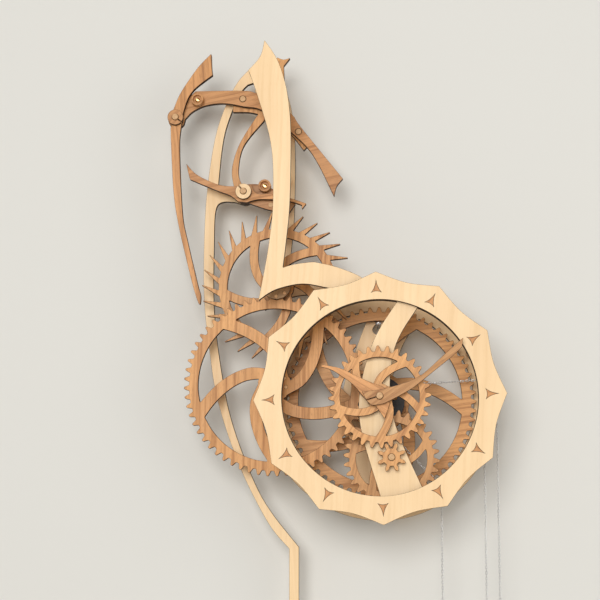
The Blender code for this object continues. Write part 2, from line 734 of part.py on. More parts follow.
def pendulum():
    half = STRIP_W / 2
    hub = arc(PENDULUM_AXIS, 8.5, 160, 390, 10)
    upper = ((-96.5, 310.0), (-103.0, 330.0), (-113.0, 347.0), (-124.0, 356.0), (-137.9, 355.9))
    outer = (
        (-137.9, 355.9),
        (-153.0, 336.7),
        (-170.8, 290.5),
        (-180.3, 229.6),
        (-183.4, 172.0),
        (-182.8, 109.4),
        (-177.4, 60.0),
        (-168.0, 4.0),
        (-145.1, -63.5),
        (-115.3, -121.7),
        (STRIP_X - half, -148.2),
    )
    lower = (
        (STRIP_X + half, -146.6),
        (-121.3, -96.6),
        (-150.6, -26.3),
        (-163.9, 32.0),
        (-172.2, 98.0),
        (-172.8, 166.1),
        (-171.5, 203.0),
        (-164.6, 212.3),
        (-150.4, 212.0),
    )
    boss = arc(EXIT_PIVOT, 9.5, 250, 440, 8)
    bridge = ((-150.0, 228.5), (-168.9, 231.4))
    inner = ((-168.9, 231.4), (-162.3, 287.4), (-144.1, 333.8), (-127.0, 341.0), (-115.0, 322.0))
    edge = joined(
        hub,
        smooth(upper),
        smooth(outer),
        [(STRIP_X - half, STRIP_END), (STRIP_X + half, STRIP_END)],
        smooth(lower),
        boss,
        bridge,
        smooth(inner),
    )
    holes = [circle(PENDULUM_AXIS, HOLE_R), circle(EXIT_PIVOT, HOLE_R)]
    plate("pendulum_plate", "pendulum", PENDULUM_AT, [edge] + holes, "maple")
    last = FRONT_FRAME_AT + SHEET / 2
    first = WALL_BLOCK + 1
    dowel("pendulum_arbor", "pendulum", PENDULUM_AXIS, first, last, DOWEL_R, "oak_peg")


def anchor_frame():
    """The second layer: a curved strut with branches that meet at the pendulum's arbor."""
    crest = ((-92.5, 367.0), (-99.5, 365.3), (-106.4, 367.8))
    left = ((-106.4, 367.8), (-112.0, 350.0), (-121.0, 334.0), (-134.0, 327.5), (-153.3, 322.0))
    under = ((-153.3, 308.4), (-137.3, 308.1), (-126.5, 305.8))
    strut = ((-126.5, 305.8), (-145.9, 274.0), (-153.9, 246.6), (-151.5, 226.0))
    foot = ((-143.0, 229.5), (-147.0, 243.0), (-141.7, 271.0), (-119.0, 299.9))
    tail = ((-119.0, 299.9), (-104.0, 292.5), (-90.6, 282.0), (-78.0, 265.5))
    back = ((-70.5, 274.0), (-81.0, 288.3), (-92.5, 304.0), (-97.5, 330.0), (-99.3, 358.1))
    edge = joined(
        smooth(crest),
        smooth(left),
        smooth(under),
        smooth(strut),
        arc(EXIT_PIVOT, 9.5, 140, 400, 12),
        smooth(foot),
        smooth(tail),
        smooth(back),
    )
    holes = [circle(spot, HOLE_R) for spot in (PENDULUM_AXIS, EXIT_PIVOT)]
    holes += [circle(spot, PEG_HOLE_R) for spot in PEGS]
    plate("anchor_frame", "pendulum", ANCHOR_AT, [edge] + holes, "cherry")


def arc_arm():
    crown = (
        (-192.7, 330.1),
        (-176.0, 330.2),
        (-142.8, 329.8),
        (-127.2, 326.3),
        (-92.3, 304.8),
        (-80.4, 288.8),
        (-36.8, 233.2),
    )
    tail = ((-36.8, 233.2), (-43.3, 225.0), (-46.0, 214.3))
    belly = (
        (-46.0, 214.3),
        (-67.7, 258.3),
        (-90.2, 283.1),
        (-121.5, 308.0),
        (-139.9, 312.3),
        (-161.2, 316.3),
        (-181.1, 314.5),
        (-195.2, 308.1),
        (-203.0, 300.0),
    )
    boss = arc(ENTRY_PIVOT, 9.0, 330, 160, 10)
    edge = joined(smooth(crown), smooth(tail), smooth(belly), boss)
    holes = [circle(spot, HOLE_R) for spot in (PENDULUM_AXIS, ENTRY_PIVOT)]
    holes += [circle(spot, PEG_HOLE_R) for spot in PEGS]
    plate("arc_arm", "pendulum", ARM_AT, [edge] + holes, "walnut")


def lower_arm():
    top = ((-137.6, 228.5), (-125.3, 228.3), (-111.4, 223.8), (-99.0, 214.5), (-86.2, 207.0))
    low = ((-86.2, 207.0), (-93.0, 197.3))
    belly = ((-93.0, 197.3), (-110.7, 200.0), (-124.0, 204.0), (-136.0, 208.5))
    boss = arc(EXIT_PIVOT, 10.2, 290, 100, 10)
    edge = joined(smooth(top), low, smooth(belly), boss)
    holes = [circle(EXIT_PIVOT, HOLE_R)]
    plate("lower_arm", "pendulum", ARM_AT, [edge] + holes, "walnut")


def pegs_and_pivots():
    for i, spot in enumerate(PEGS, 1):
        last = ARM_AT + SHEET + 0.8
        dowel("anchor_peg_%d" % i, "pendulum", spot, ANCHOR_AT, last, PEG_R, "oak_peg")
    front = PALLET_AT + SHEET + GAP + COLLAR
    dowel("entry_pivot", "pendulum", ENTRY_PIVOT, ARM_AT, front + 2.0, DOWEL_R, "oak_peg")
    dowel("exit_pivot", "pendulum", EXIT_PIVOT, PENDULUM_AT, front + 2.0, DOWEL_R, "oak_peg")
    for name, spot in (("entry_cup", ENTRY_CUP), ("exit_cup", EXIT_CUP)):
        back = ARM_AT + SHEET + GAP
        profile = [
            (0.0, back + CUP / 2),
            (CUP_BORE_R, back + CUP / 2),
            (CUP_BORE_R, back + CUP),
            (CUP_R, back + CUP),
            (CUP_R, back),
            (0.0, back),
        ]
        turned(name, "pendulum", spot, profile, "walnut", 20)


def collar(name, body, spot, slit, finish):
    """A split collar: a thick disc with one cut from its bore to its edge."""
    edge = joined(
        arc(spot, COLLAR_R, slit + 4, slit + 356, 24),
        arc(spot, HOLE_R, slit + 352, slit + 8, 16),
    )
    plate(name, body, PALLET_AT + SHEET + GAP, [edge], finish, COLLAR)


def entry_pallet():
    tail = ((-215.0, 308.4), (-208.8, 324.1), (-199.1, 340.1), (-187.8, 355.9), (-175.2, 369.0))
    end = ((-175.2, 369.0), (-174.6, 354.0), (-173.6, 345.4))
    back = ((-173.6, 345.4), (-183.4, 338.3), (-193.4, 329.7), (-200.0, 319.5), (-204.4, 305.1))
    arm_in = ((-206.6, 289.2), (-207.9, 266.1), (-204.1, 198.1), (-197.9, 165.9), (-186.2, 118.0))
    nib = ((-184.4, 112.6), (-183.8, 107.6), (-184.2, 101.8))
    arm_out = ((-184.2, 101.8), (-187.0, 103.6), (-196.1, 134.9), (-211.7, 203.7), (-216.7, 266.2))
    arm_out += ((-217.6, 289.3),)
    edge = joined(
        smooth(tail),
        smooth(end),
        smooth(back),
        smooth(arm_in),
        nib[:-1],
        smooth(arm_out),
        arc(ENTRY_PIVOT, HOLE_R + 3.5, 240, 120, 8),
    )
    plate("entry_pallet", "entry", PALLET_AT, [edge, circle(ENTRY_PIVOT, HOLE_R)], "walnut")
    collar("entry_collar", "entry", ENTRY_PIVOT, -40, "walnut")


def exit_pallet():
    tail = ((-200.7, 250.1), (-198.4, 240.0), (-196.5, 232.9))
    low = ((-196.5, 232.9), (-179.6, 225.5), (-165.4, 219.5), (-154.1, 215.1), (-146.0, 208.6))
    low_right = ((-137.2, 207.6), (-125.2, 210.6), (-109.7, 210.3), (-92.0, 208.2), (-79.3, 204.0))
    nib = ((-79.3, 204.0), (-79.4, 199.5), (-74.7, 205.6))
    top = ((-74.7, 205.6), (-92.0, 211.8), (-109.7, 216.4), (-126.0, 216.8), (-132.0, 226.0))
    top_left = ((-148.6, 225.0), (-162.7, 225.9), (-176.8, 231.1), (-190.9, 239.2), (-200.7, 250.1))
    edge = joined(
        smooth(tail),
        smooth(low),
        smooth(low_right),
        nib,
        smooth(top),
        smooth(top_left),
    )
    plate("exit_pallet", "exit", PALLET_AT, [edge, circle(EXIT_PIVOT, HOLE_R)], "walnut")
    collar("exit_collar", "exit", EXIT_PIVOT, 130, "maple")


def bob():
    """Ferrule and threaded rod under the pendulum strip, with the bob and its nut on the rod."""
    middle = PENDULUM_AT + SHEET / 2
    foot = (STRIP_X, STRIP_END)
    low = ROD_END - STRIP_END
    profile = [(0.0, 8.0), (FERRULE_R, 8.0), (FERRULE_R, 8.0 - FERRULE)]
    profile += [(ROD_R, 5.0 - FERRULE), (ROD_R, low), (0.0, low)]
    rod = turned("rating_rod", "pendulum", foot, profile, "brass", 16, upright=middle)
    slot = bmesh.new()
    bmesh.ops.create_cube(slot, size=1.0)
    size = ((STRIP_W + 2 * GAP) * MM, (SHEET + 2 * GAP) * MM, 30 * MM)
    bmesh.ops.scale(slot, vec=size, verts=slot.verts)
    bmesh.ops.translate(slot, vec=(0.0, 0.0, (15 - GAP) * MM), verts=slot.verts)
    mesh = bpy.data.meshes.new("ferrule_slot")
    slot.to_mesh(mesh)
    slot.free()
    boolean(rod, "DIFFERENCE", mesh)

    profile = [(0.0, BOB / 2), (BOB_R - 8, BOB / 2), (BOB_R, BOB / 4), (BOB_R, -BOB / 4)]
    profile += [(BOB_R - 8, -BOB / 2), (0.0, -BOB / 2)]
    lens = [(radius, middle + along) for radius, along in profile]
    disc = turned("bob", "bob", (STRIP_X, BOB_Z), lens, "brass", 32)
    bore = rod_mesh("bob_bore", [(0.0, -middle, ROD_R + GAP, -2 * BOB_R, 2 * BOB_R)], 12)
    bore.transform(Matrix.Rotation(math.radians(-90), 4, "X"))
    boolean(disc, "DIFFERENCE", bore)
    top = -BOB_R - GAP
    profile = [(NUT_R, top), (NUT_R, top - NUT), (ROD_R + GAP, top - NUT), (ROD_R + GAP, top)]
    turned("rating_nut", "bob", (STRIP_X, BOB_Z), profile, "brass", 20, True, middle)


# ---------------------------------------------------------------- chain, pulleys and weights


def pulley(name, body, centre):
    """A grooved wheel in the chain's plane."""
    half = PULLEY / 2
    floor_r = PULLEY_R - CHAIN_R - GAP
    profile = [
        (ROD_R + GAP, CHAIN_AT + half),
        (PULLEY_RIM_R, CHAIN_AT + half),
        (floor_r, CHAIN_AT + 1.2),
        (floor_r, CHAIN_AT - 1.2),
        (PULLEY_RIM_R, CHAIN_AT - half),
        (ROD_R + GAP, CHAIN_AT - half),
    ]
    turned(name, body, centre, profile, "black", 20, closed=True)


def chain_and_pulleys():
    pulley("feed_pulley", "feed_pulley", FEED_PULLEY)
    pulley("slack_pulley", "slack_pulley", SLACK_PULLEY)
    first, last = BACK_FRAME_AT + SHEET + GAP, CHAIN_AT + PULLEY / 2 + 2.0
    dowel("feed_post", "frame", FEED_PULLEY, first, last, ROD_R, "brass", 12)
    dowel("slack_post", "frame", SLACK_PULLEY, first, last, ROD_R, "brass", 12)
    dowel("chain_hook", "frame", (RETURN_X, HOOK_Z), first, CHAIN_AT + 2, ROD_R, "brass", 12)

    def lean(centre, reach):
        distance = math.hypot(*centre)
        return math.degrees(math.acos(reach / distance))

    def heading(centre):
        return math.degrees(math.atan2(centre[1], centre[0]))

    over = heading(FEED_PULLEY) + lean(FEED_PULLEY, CHAIN_WHEEL_R - PULLEY_R)
    under = heading(SLACK_PULLEY) - lean(SLACK_PULLEY, CHAIN_WHEEL_R + PULLEY_R)
    route = joined(
        arc(FEED_PULLEY, PULLEY_R, 0, over, 5),
        arc((0, 0), CHAIN_WHEEL_R, over, under + 360, 9),
        arc(SLACK_PULLEY, PULLEY_R, under + 180, 0, 3),
    )
    chain_run("drive_chain", "frame", route)
    feed_run = [(FEED_X, FEED_PULLEY_Z - GAP), (FEED_X, WEIGHT_PULLEY_Z)]
    chain_run("weight_chain", "weight", feed_run)
    return_run = [(RETURN_X, HOOK_Z - ROD_R - GAP), (RETURN_X, WEIGHT_PULLEY_Z)]
    chain_run("return_chain", "weight", return_run)
    slack_run = [(SLACK_X, SLACK_PULLEY_Z - GAP), (SLACK_X, COUNTER_TOP + GAP)]
    chain_run("slack_chain", "counterweight", slack_run)


def weights():
    pulley("weight_pulley", "weight_pulley", WEIGHT_PULLEY)
    x, z = WEIGHT_PULLEY
    back = CHAIN_AT - PULLEY / 2 - GAP - 2.5
    cheek = joined(arc(WEIGHT_PULLEY, 5.0, 0, 180, 8), [(x - 5, WEIGHT_TOP), (x + 5, WEIGHT_TOP)])
    hanger = as_mesh(plate("weight_hanger", "weight", back, [cheek], "brass", 2.5))
    axle = rod_mesh("weight_axle", [(0.0, 0.0, ROD_R, 0.0, PULLEY + 5.0)], 12)
    boolean(hanger, "UNION", axle)
    low = WEIGHT_TOP - GAP - WEIGHT_LENGTH
    profile = [(0.0, WEIGHT_TOP - GAP), (WEIGHT_R, WEIGHT_TOP - GAP), (WEIGHT_R, low), (0.0, low)]
    profile = [(radius, height - z) for radius, height in profile]
    turned("drive_weight", "weight", (x, z), profile, "brass", 24, upright=CHAIN_AT)
    profile = [(0.0, 0.0), (COUNTER_R, -5.0), (COUNTER_R, -COUNTER_LENGTH), (0.0, -COUNTER_LENGTH)]
    centre = (SLACK_X, COUNTER_TOP)
    turned("counterweight", "counterweight", centre, profile, "brass", 16, upright=CHAIN_AT)


def main():
    start()
    front_frame()
    back_frame()
    hanging()
    pillars()
    dial()
    centre_work()
    chain_drive()
    third_work()
    escape_work()
    motion_work()
    hour_hand()
    minute_hand()
    pendulum()
    anchor_frame()
    arc_arm()
    lower_arm()
    pegs_and_pivots()
    entry_pallet()
    exit_pallet()
    bob()
    chain_and_pulleys()
    weights()


main()
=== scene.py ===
"""The looks of a wall-hung wooden gear clock, built round its packed frame.

Lengths are metres in the frame's axes: +X right, +Z up, and the front faces -Y. Outlines and
turned profiles are read from the frame, made finer and rounded, and finished as new pieces.
"""

import json
import math

import bmesh
import bpy
from bpy.props import (
    FloatProperty,
    FloatVectorProperty,
    IntProperty,
    PointerProperty,
)
from mathutils import Matrix, Vector


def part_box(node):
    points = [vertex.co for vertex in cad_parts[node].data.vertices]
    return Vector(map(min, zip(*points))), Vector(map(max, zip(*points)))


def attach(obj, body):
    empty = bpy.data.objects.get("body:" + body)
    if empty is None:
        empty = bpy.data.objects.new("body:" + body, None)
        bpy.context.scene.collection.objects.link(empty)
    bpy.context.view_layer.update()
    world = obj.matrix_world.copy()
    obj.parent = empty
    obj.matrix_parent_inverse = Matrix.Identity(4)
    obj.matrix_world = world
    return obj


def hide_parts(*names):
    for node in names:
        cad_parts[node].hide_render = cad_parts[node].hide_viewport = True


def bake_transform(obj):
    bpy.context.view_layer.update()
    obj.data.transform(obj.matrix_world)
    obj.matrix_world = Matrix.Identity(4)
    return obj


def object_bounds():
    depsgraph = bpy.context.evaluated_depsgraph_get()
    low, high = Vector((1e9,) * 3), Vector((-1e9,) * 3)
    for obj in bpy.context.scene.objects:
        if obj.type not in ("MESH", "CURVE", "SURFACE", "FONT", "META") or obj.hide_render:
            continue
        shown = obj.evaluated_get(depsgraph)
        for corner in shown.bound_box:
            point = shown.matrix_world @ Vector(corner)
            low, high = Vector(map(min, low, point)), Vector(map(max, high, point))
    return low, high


bl_info = {
    "name": "Wooden Gear Clock",
    "version": (1, 0, 0),
    "blender": (4, 5, 0),
    "location": "View3D > Sidebar > Gear Clock",
    "description": "Finishes the wood, metal and chain of a wall-hung gear clock",
    "category": "Object",
}

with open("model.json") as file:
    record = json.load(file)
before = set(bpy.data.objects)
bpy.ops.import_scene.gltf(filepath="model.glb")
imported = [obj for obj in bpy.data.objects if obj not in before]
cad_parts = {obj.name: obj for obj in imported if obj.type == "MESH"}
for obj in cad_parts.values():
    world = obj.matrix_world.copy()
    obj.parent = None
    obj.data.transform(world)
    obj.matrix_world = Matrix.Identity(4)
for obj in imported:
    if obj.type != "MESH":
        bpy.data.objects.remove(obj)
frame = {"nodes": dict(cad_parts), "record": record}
CAD_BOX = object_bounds()
MM = 0.001
FINISH = "_finish"
UP = Vector((0.0, 0.0, 1.0))

RECORD = frame["record"]
BODY_OF = {n: body for body, nodes in RECORD["behaviour"]["bodies"].items() for n in nodes}
SLOT_OF = {row["node"]: row["material_slot"] for row in RECORD["subparts"]}

SHARP_TURN = math.radians(28)  # an outline that turns more than this at a point has a corner there
SMOOTH_BELOW = math.radians(35)  # faces that meet at less than this are shaded as one surface
FLAT = 0.99  # how square to the front a flat face's normal is, at least
WELD = 2e-6
HAIR = 0.01 * MM  # what counts as being in one plane
FILL_SLACK = 0.04  # share of a sheet piece's area that its broken edges may take off
PIN_COUNT = 8  # in each lantern pinion
LANTERN_DISC = 4.0 * MM
ARBOR_HOLE_R = 3.5 * MM
DRUM_R = 15.0 * MM  # from the chain wheel's axis to the middle of the chain on it
TURNING_MARKS = 2400.0  # fine marks to a metre of turned metal

# The eye: where it stands, how far it looks up and to the left, and its lens
EYE = (0.00647, -1.557, -0.1193)
EYE_UP = math.radians(8.5)
EYE_LEFT = math.radians(3.36)
EYE_LENS = 88.3
EYE_SENSOR = 36.0
FLOOR_BELOW = 0.70  # from the lowest piece to the floor
ROOM_ABOVE = 1.2  # from the highest piece to the top of the wall
ROOM_HALF = 2.2  # half the wall's width and the floor's depth
LIT_POINT = Vector((-0.03, 0.0, 0.05))  # what the lamps face

# Each wood: how strongly its lines and its flame show, how far the grain sways, in metres,
# a seed, and the least share of a cut edge that is burnt
WOODS = {
    "maple": {"contrast": 0.26, "flame": 0.34, "waviness": 0.007, "seed": 1.3, "burn": 0.94},
    "cherry": {"contrast": 0.88, "flame": 0.36, "waviness": 0.004, "seed": 4.1, "burn": 0.9},
    "walnut": {"contrast": 0.85, "flame": 0.45, "waviness": 0.004, "seed": 7.7, "burn": 0.9},
    "oak_peg": {"contrast": 0.55, "flame": 0.2, "waviness": 0.001, "seed": 9.2, "burn": 0.5},
}
METALS = {
    "brass": {"colour": (0.78, 0.56, 0.24), "tarnish": (0.52, 0.33, 0.12), "rough": 0.26},
    "steel": {"colour": (0.66, 0.65, 0.63), "tarnish": (0.44, 0.43, 0.42), "rough": 0.3},
}


# ---------------------------------------------------------------- settings


def colour_property(name, description, colour):
    return FloatVectorProperty(
        name=name, description=description, subtype="COLOR", min=0.0, max=1.0, default=colour
    )


def length_property(name, description, metres):
    return FloatProperty(
        name=name, description=description, unit="LENGTH", precision=5, min=0.0, default=metres
    )


class ClockWoodSettings(bpy.types.PropertyGroup):
    """Colours and grain of the sheet woods and the pegs."""

    maple: colour_property("Maple", "Frames, dial and pendulum", (0.88, 0.63, 0.355))
    maple_dark: colour_property("Maple Figure", "Its darker streaks", (0.68, 0.43, 0.21))
    cherry: colour_property("Cherry", "Wheels and struts", (0.72, 0.36, 0.115))
    cherry_dark: colour_property("Cherry Figure", "Its darker lines", (0.30, 0.12, 0.045))
    walnut: colour_property("Walnut", "Arms, pallets and inlays", (0.62, 0.29, 0.092))
    walnut_dark: colour_property("Walnut Figure", "Its darker lines", (0.24, 0.10, 0.04))
    oak_peg: colour_property("Pegs", "Arbors, pins and pipes", (0.66, 0.40, 0.19))
    oak_peg_dark: colour_property("Peg Figure", "Its darker lines", (0.30, 0.15, 0.06))
    burn: colour_property("Burnt Edge", "The cut edge of the sheet", (0.030, 0.015, 0.008))
    line_spacing: length_property("Line Spacing", "Between dark lines of the grain", 0.0042)


class ClockCutSettings(bpy.types.PropertyGroup):
    """How the cut pieces are finished."""

    chamfer: length_property("Chamfer", "Broken edge on every sheet piece", 0.00022)
    corner: length_property("Corner Radius", "Radius of an outline's corners", 0.0006)
    tooth: length_property("Tooth Radius", "Radius at a tooth's tip and root", 0.0012)
    turned: length_property("Turned Radius", "Radius of a turned piece's edges", 0.0004)
    sides: IntProperty(
        name="Turned Sides", description="Facets round a turned piece", default=64, min=12
    )


class ClockInlaySettings(bpy.types.PropertyGroup):
    """The hour marks let into the dial."""

    count: IntProperty(name="Count", description="Marks round the dial", default=12, min=1)
    reach: length_property("Reach", "From the centre to the base of a mark", 0.1038)
    tall: length_property("Height", "From a mark's base to its long point", 0.0112)
    wide: length_property("Width", "Across a mark's base", 0.0094)
    waist: FloatProperty(
        name="Waist", description="How far its sides draw in", default=0.62, min=0.0, max=0.9
    )
    recess: length_property("Recess", "Below the dial's face", 0.0005)
    gap: length_property("Gap", "Round each mark", 0.00022)


class ClockChainSettings(bpy.types.PropertyGroup):
    """The link chain."""

    pitch: length_property("Pitch", "From link to link", 0.00272)
    wire: length_property("Wire Radius", "Radius of a link's wire", 0.00038)
    width: length_property("Link Width", "Width between wire centres", 0.00165)
    length: length_property("Link Length", "Length between wire centres", 0.0034)


class ClockStageSettings(bpy.types.PropertyGroup):
    """The plain wall, floor and studio light."""

    wall: colour_property("Wall", "Plain pale wall and floor", (0.70, 0.685, 0.64))
    key: FloatProperty(name="Key", description="Power of the main soft light", default=61.0)
    fill: FloatProperty(name="Fill", description="Power of the side soft light", default=11.0)
    sky: FloatProperty(name="Sky", description="Strength of the even light", default=0.38)


# ---------------------------------------------------------------- small helpers


def add_object(name, data):
    made = bpy.data.objects.new(name, data)
    bpy.context.scene.collection.objects.link(made)
    return made


def plain_mesh(name, source):
    """The evaluated mesh of an object, modifiers and curves included; the object is removed."""
    bpy.context.view_layer.update()
    graph = bpy.context.evaluated_depsgraph_get()
    mesh = bpy.data.meshes.new_from_object(source.evaluated_get(graph), depsgraph=graph)
    mesh.name = name
    bpy.data.objects.remove(source, do_unlink=True)
    return mesh


def welded(node):
    """A copy of a frame node's mesh with its loose triangles joined, for reading its shape."""
    bm = bmesh.new()
    bm.from_mesh(frame["nodes"][node].data)
    bmesh.ops.remove_doubles(bm, verts=bm.verts, dist=2e-5)
    bm.normal_update()
    return bm


def polar(radius, angle, centre=(0.0, 0.0)):
    return Vector((centre[0] + radius * math.cos(angle), centre[1] + radius * math.sin(angle)))


def middle_of(node):
    low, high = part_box(node)
    return (low + high) / 2


def axis_of(node):
    """Where a round or toothed node's own axis meets the wall, as (x, z)."""
    return middle_of(node).xz


def finish(slot):
    """The finished material of a slot."""
    return bpy.data.materials[slot + FINISH]


def settle(piece, node, stands_for=True):
    """The piece moves with the node's body and stands for it."""
    piece.data.shade_smooth()
    piece.data.set_sharp_from_angle(angle=SMOOTH_BELOW)
    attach(piece, BODY_OF[node])
    if stands_for:
        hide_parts(node)


def place_mesh(name, mesh, node, stands_for=True, slot=None):
    """The mesh in a slot's finish, settled as a piece."""
    mesh.materials.clear()
    mesh.materials.append(finish(slot or SLOT_OF[node]))
    settle(add_object(name, mesh), node, stands_for)


def mesh_from(name, bm):
    mesh = bpy.data.meshes.new(name)
    bm.to_mesh(mesh)
    bm.free()
    return mesh


def put_float(mesh, name, values, domain):
    layer = mesh.attributes.get(name) or mesh.attributes.new(name, "FLOAT", domain)
    layer.data.foreach_set("value", values)


# ---------------------------------------------------------------- outlines and profiles


def curved(points, steps=3):
    """A smooth run through points, both ends kept."""
    if len(points) < 3:
        return list(points)
    run = []
    for i in range(len(points) - 1):
        a, b, c = points[max(i - 1, 0)], points[i], points[i + 1]
        d = points[min(i + 2, len(points) - 1)]
        for k in range(steps):
            t = k / steps
            bent = 2 * b + (c - a) * t + (2 * a - 5 * b + 4 * c - d) * t**2
            run.append(0.5 * (bent + (3 * b - a - 3 * c + d) * t**3))
    return run + [points[-1]]


def rounded_corner(before, corner, after, radius, steps=3):
    """The few points that stand for one corner."""
    into, out = corner - before, after - corner
    turn = into.angle(out, 0.0)
    most = 0.42  # of either side
    cut = min(radius * math.tan(turn / 2), into.length * most, out.length * most)
    first = corner - into.normalized() * cut
    last = corner + out.normalized() * cut
    shares = [k / steps for k in range(steps + 1)]
    return [first.lerp(corner, t).lerp(corner.lerp(last, t), t) for t in shares]


def softened(points, radius, closed=True):
    """The same outline with finer curves between its corners, and the corners rounded."""

    def sharp(before, here, after):
        return (here - before).angle(after - here, 0.0) > SHARP_TURN

    count = len(points)
    if closed:
        corners = [
            i for i in range(count) if sharp(points[i - 1], points[i], points[(i + 1) % count])
        ]
        if not corners:
            ring = points[-1:] + points + points[:2]
            return curved(ring)[3:-4]
        points = points[corners[0] :] + points[: corners[0] + 1]
    last = len(points) - 1

    def corner(i):
        if not closed and i in (0, last):
            return [points[i]]
        before = points[i - 1] if i else points[-2]
        after = points[i + 1] if i < last else points[1]
        return rounded_corner(before, points[i], after, radius)

    made, stretch = [], [corner(0)[-1]]
    for i in range(1, last + 1):
        if i == last or sharp(points[i - 1], points[i], points[i + 1]):
            arrival = corner(i)
            made += curved(stretch + arrival[:1])[:-1] + arrival[:-1]
            stretch = arrival[-1:]
        else:
            stretch.append(points[i])
    return made if closed else made + [points[-1]]


def front_loops(node):
    """The closed outlines of a flat node's front face, and its front and back as y."""
    low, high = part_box(node)
    bm = welded(node)
    following = {}
    for face in bm.faces:
        middle = face.calc_center_median()
        if face.normal.y > -FLAT or middle.y > low.y + 0.1 * MM:
            continue
        for loop in face.loops:
            flat = [f for f in loop.edge.link_faces if f.normal.y < -FLAT]
            if len(flat) == 1:
                following[loop.vert.index] = (loop.vert.co.xz, loop.link_loop_next.vert.index)
    loops = []
    while following:
        first = here = next(iter(following))
        outline = []
        while here in following:
            point, here = following.pop(here)
            outline.append(point)
        if here == first and len(outline) > 2:
            loops.append(outline)
    bm.free()
    return loops, low.y, high.y


def turned_profile(node, upright):
    """A turned node's profile as (radius, place along its axis), its axis, and if it is closed."""
    middle = middle_of(node)
    bm = welded(node)
    inside = {}
    for vert in bm.verts:
        across = vert.co.y - middle.y if upright else vert.co.z - middle.z
        radius = vert.co.x - middle.x
        if abs(across) < HAIR and radius > -WELD / 2:
            along = vert.co.z if upright else vert.co.y
            inside[vert.index] = (Vector((max(radius, 0.0), along)), vert)
    links = {}
    for i, (point, vert) in inside.items():
        others = [edge.other_vert(vert).index for edge in vert.link_edges]
        links[i] = [j for j in others if j in inside and (point - inside[j][0]).length > WELD]
    ends = [i for i in links if len(links[i]) == 1]
    here = min(ends, key=lambda i: inside[i][0].y) if ends else next(iter(links))
    order, before = [], None
    while here is not None and here not in order:
        order.append(here)
        onward = [i for i in links[here] if i != before and i not in order]
        before, here = here, (onward[0] if onward else None)
    points = [inside[i][0] for i in order]
    bm.free()
    if ends:
        points = [Vector((0.0, points[0].y))] * (points[0].x > WELD) + points
        points = points + [Vector((0.0, points[-1].y))] * (points[-1].x > WELD)
    return points, middle, not ends


# ---------------------------------------------------------------- making solids


def sheet_solid(name, loops, front, back, chamfer):
    """A flat solid with broken edges from closed (x, z) outlines, between two y values."""
    curve = bpy.data.curves.new(name, "CURVE")
    curve.dimensions = "2D"
    curve.fill_mode = "BOTH"
    curve.extrude = (back - front) / 2 - chamfer
    curve.bevel_depth = chamfer
    curve.bevel_resolution = 0
    curve.offset = -chamfer
    for loop in loops:
        spline = curve.splines.new("POLY")
        spline.points.add(len(loop) - 1)
        spline.use_cyclic_u = True
        for point, place in zip(spline.points, loop):
            point.co = (place.x, place.y, 0.0, 1.0)
    mesh = plain_mesh(name, add_object(name, curve))
    stand = Matrix.Translation((0.0, (front + back) / 2, 0.0)) @ Matrix.Rotation(math.pi / 2, 4, "X")
    mesh.transform(stand)
    bm = bmesh.new()
    bm.from_mesh(mesh)
    bmesh.ops.remove_doubles(bm, verts=bm.verts, dist=WELD)
    bmesh.ops.recalc_face_normals(bm, faces=bm.faces)
    solid = bm.calc_volume() / (back - front)
    bm.to_mesh(mesh)
    bm.free()
    area = sum(signed_area(loop) for loop in loops)
    if abs(solid - area) > FILL_SLACK * area:
        raise RuntimeError("%s did not fill: %.3g of %.3g" % (name, solid, area))
    return mesh


def signed_area(loop):
    """A closed outline's area, negative for a hole."""
    return sum(a.x * b.y - b.x * a.y for a, b in zip(loop, loop[1:] + loop[:1])) / 2


def lay_grain(mesh, angle, shift, tone, burnt=True):
    """Grain along a direction in the sheet, given from upright, and a mask of the cut edges."""
    while mesh.uv_layers:
        mesh.uv_layers.remove(mesh.uv_layers[0])
    layer = mesh.uv_layers.new(name="grain")
    cos, sin = math.cos(angle), math.sin(angle)
    for loop in mesh.loops:
        x, y, z = mesh.vertices[loop.vertex_index].co
        layer.data[loop.index].uv = (x * cos - z * sin + shift, x * sin + z * cos + y)
    edge = [float(burnt and abs(p.normal.y) < 0.9) for p in mesh.polygons]
    put_float(mesh, "cut", edge, "FACE")
    put_float(mesh, "tone", [tone] * len(mesh.vertices), "POINT")


def spun(name, profile, middle, upright=False, closed=False, sides=32, tone=1.0):
    """A turned solid from (radius, along) points, with a map that runs round and along it."""
    bm = bmesh.new()
    x, y, z = middle
    start = (x, y, 0.0) if upright else (x, 0.0, z)
    rim = [bm.verts.new((x + p.x, y, p.y) if upright else (x + p.x, p.y, z)) for p in profile]
    pairs = list(zip(rim, rim[1:])) + ([(rim[-1], rim[0])] if closed else [])
    edges = [bm.edges.new(pair) for pair in pairs]
    bmesh.ops.spin(
        bm,
        geom=rim + edges,
        cent=start,
        axis=UP if upright else Vector((0.0, 1.0, 0.0)),
        angle=2 * math.pi,
        steps=sides,
    )
    bmesh.ops.remove_doubles(bm, verts=bm.verts, dist=WELD)
    bmesh.ops.recalc_face_normals(bm, faces=bm.faces)
    layer = bm.loops.layers.uv.new("grain")
    reach = max(p.x for p in profile)
    for face in bm.faces:
        centre = face.calc_center_median() - middle
        heading = math.atan2(centre.y if upright else centre.z, centre.x)
        for loop in face.loops:
            place = loop.vert.co - middle
            side = place.y if upright else place.z
            turn = math.atan2(side, place.x) - heading
            turn = (turn + math.pi) % (2 * math.pi) - math.pi
            radius = math.hypot(place.x, side)
            along = place.z if upright else place.y
            loop[layer].uv = ((heading + turn) * reach, along - radius)
    mesh = mesh_from(name, bm)
    put_float(mesh, "cut", [0.0] * len(mesh.polygons), "FACE")
    put_float(mesh, "tone", [tone] * len(mesh.vertices), "POINT")
    return mesh


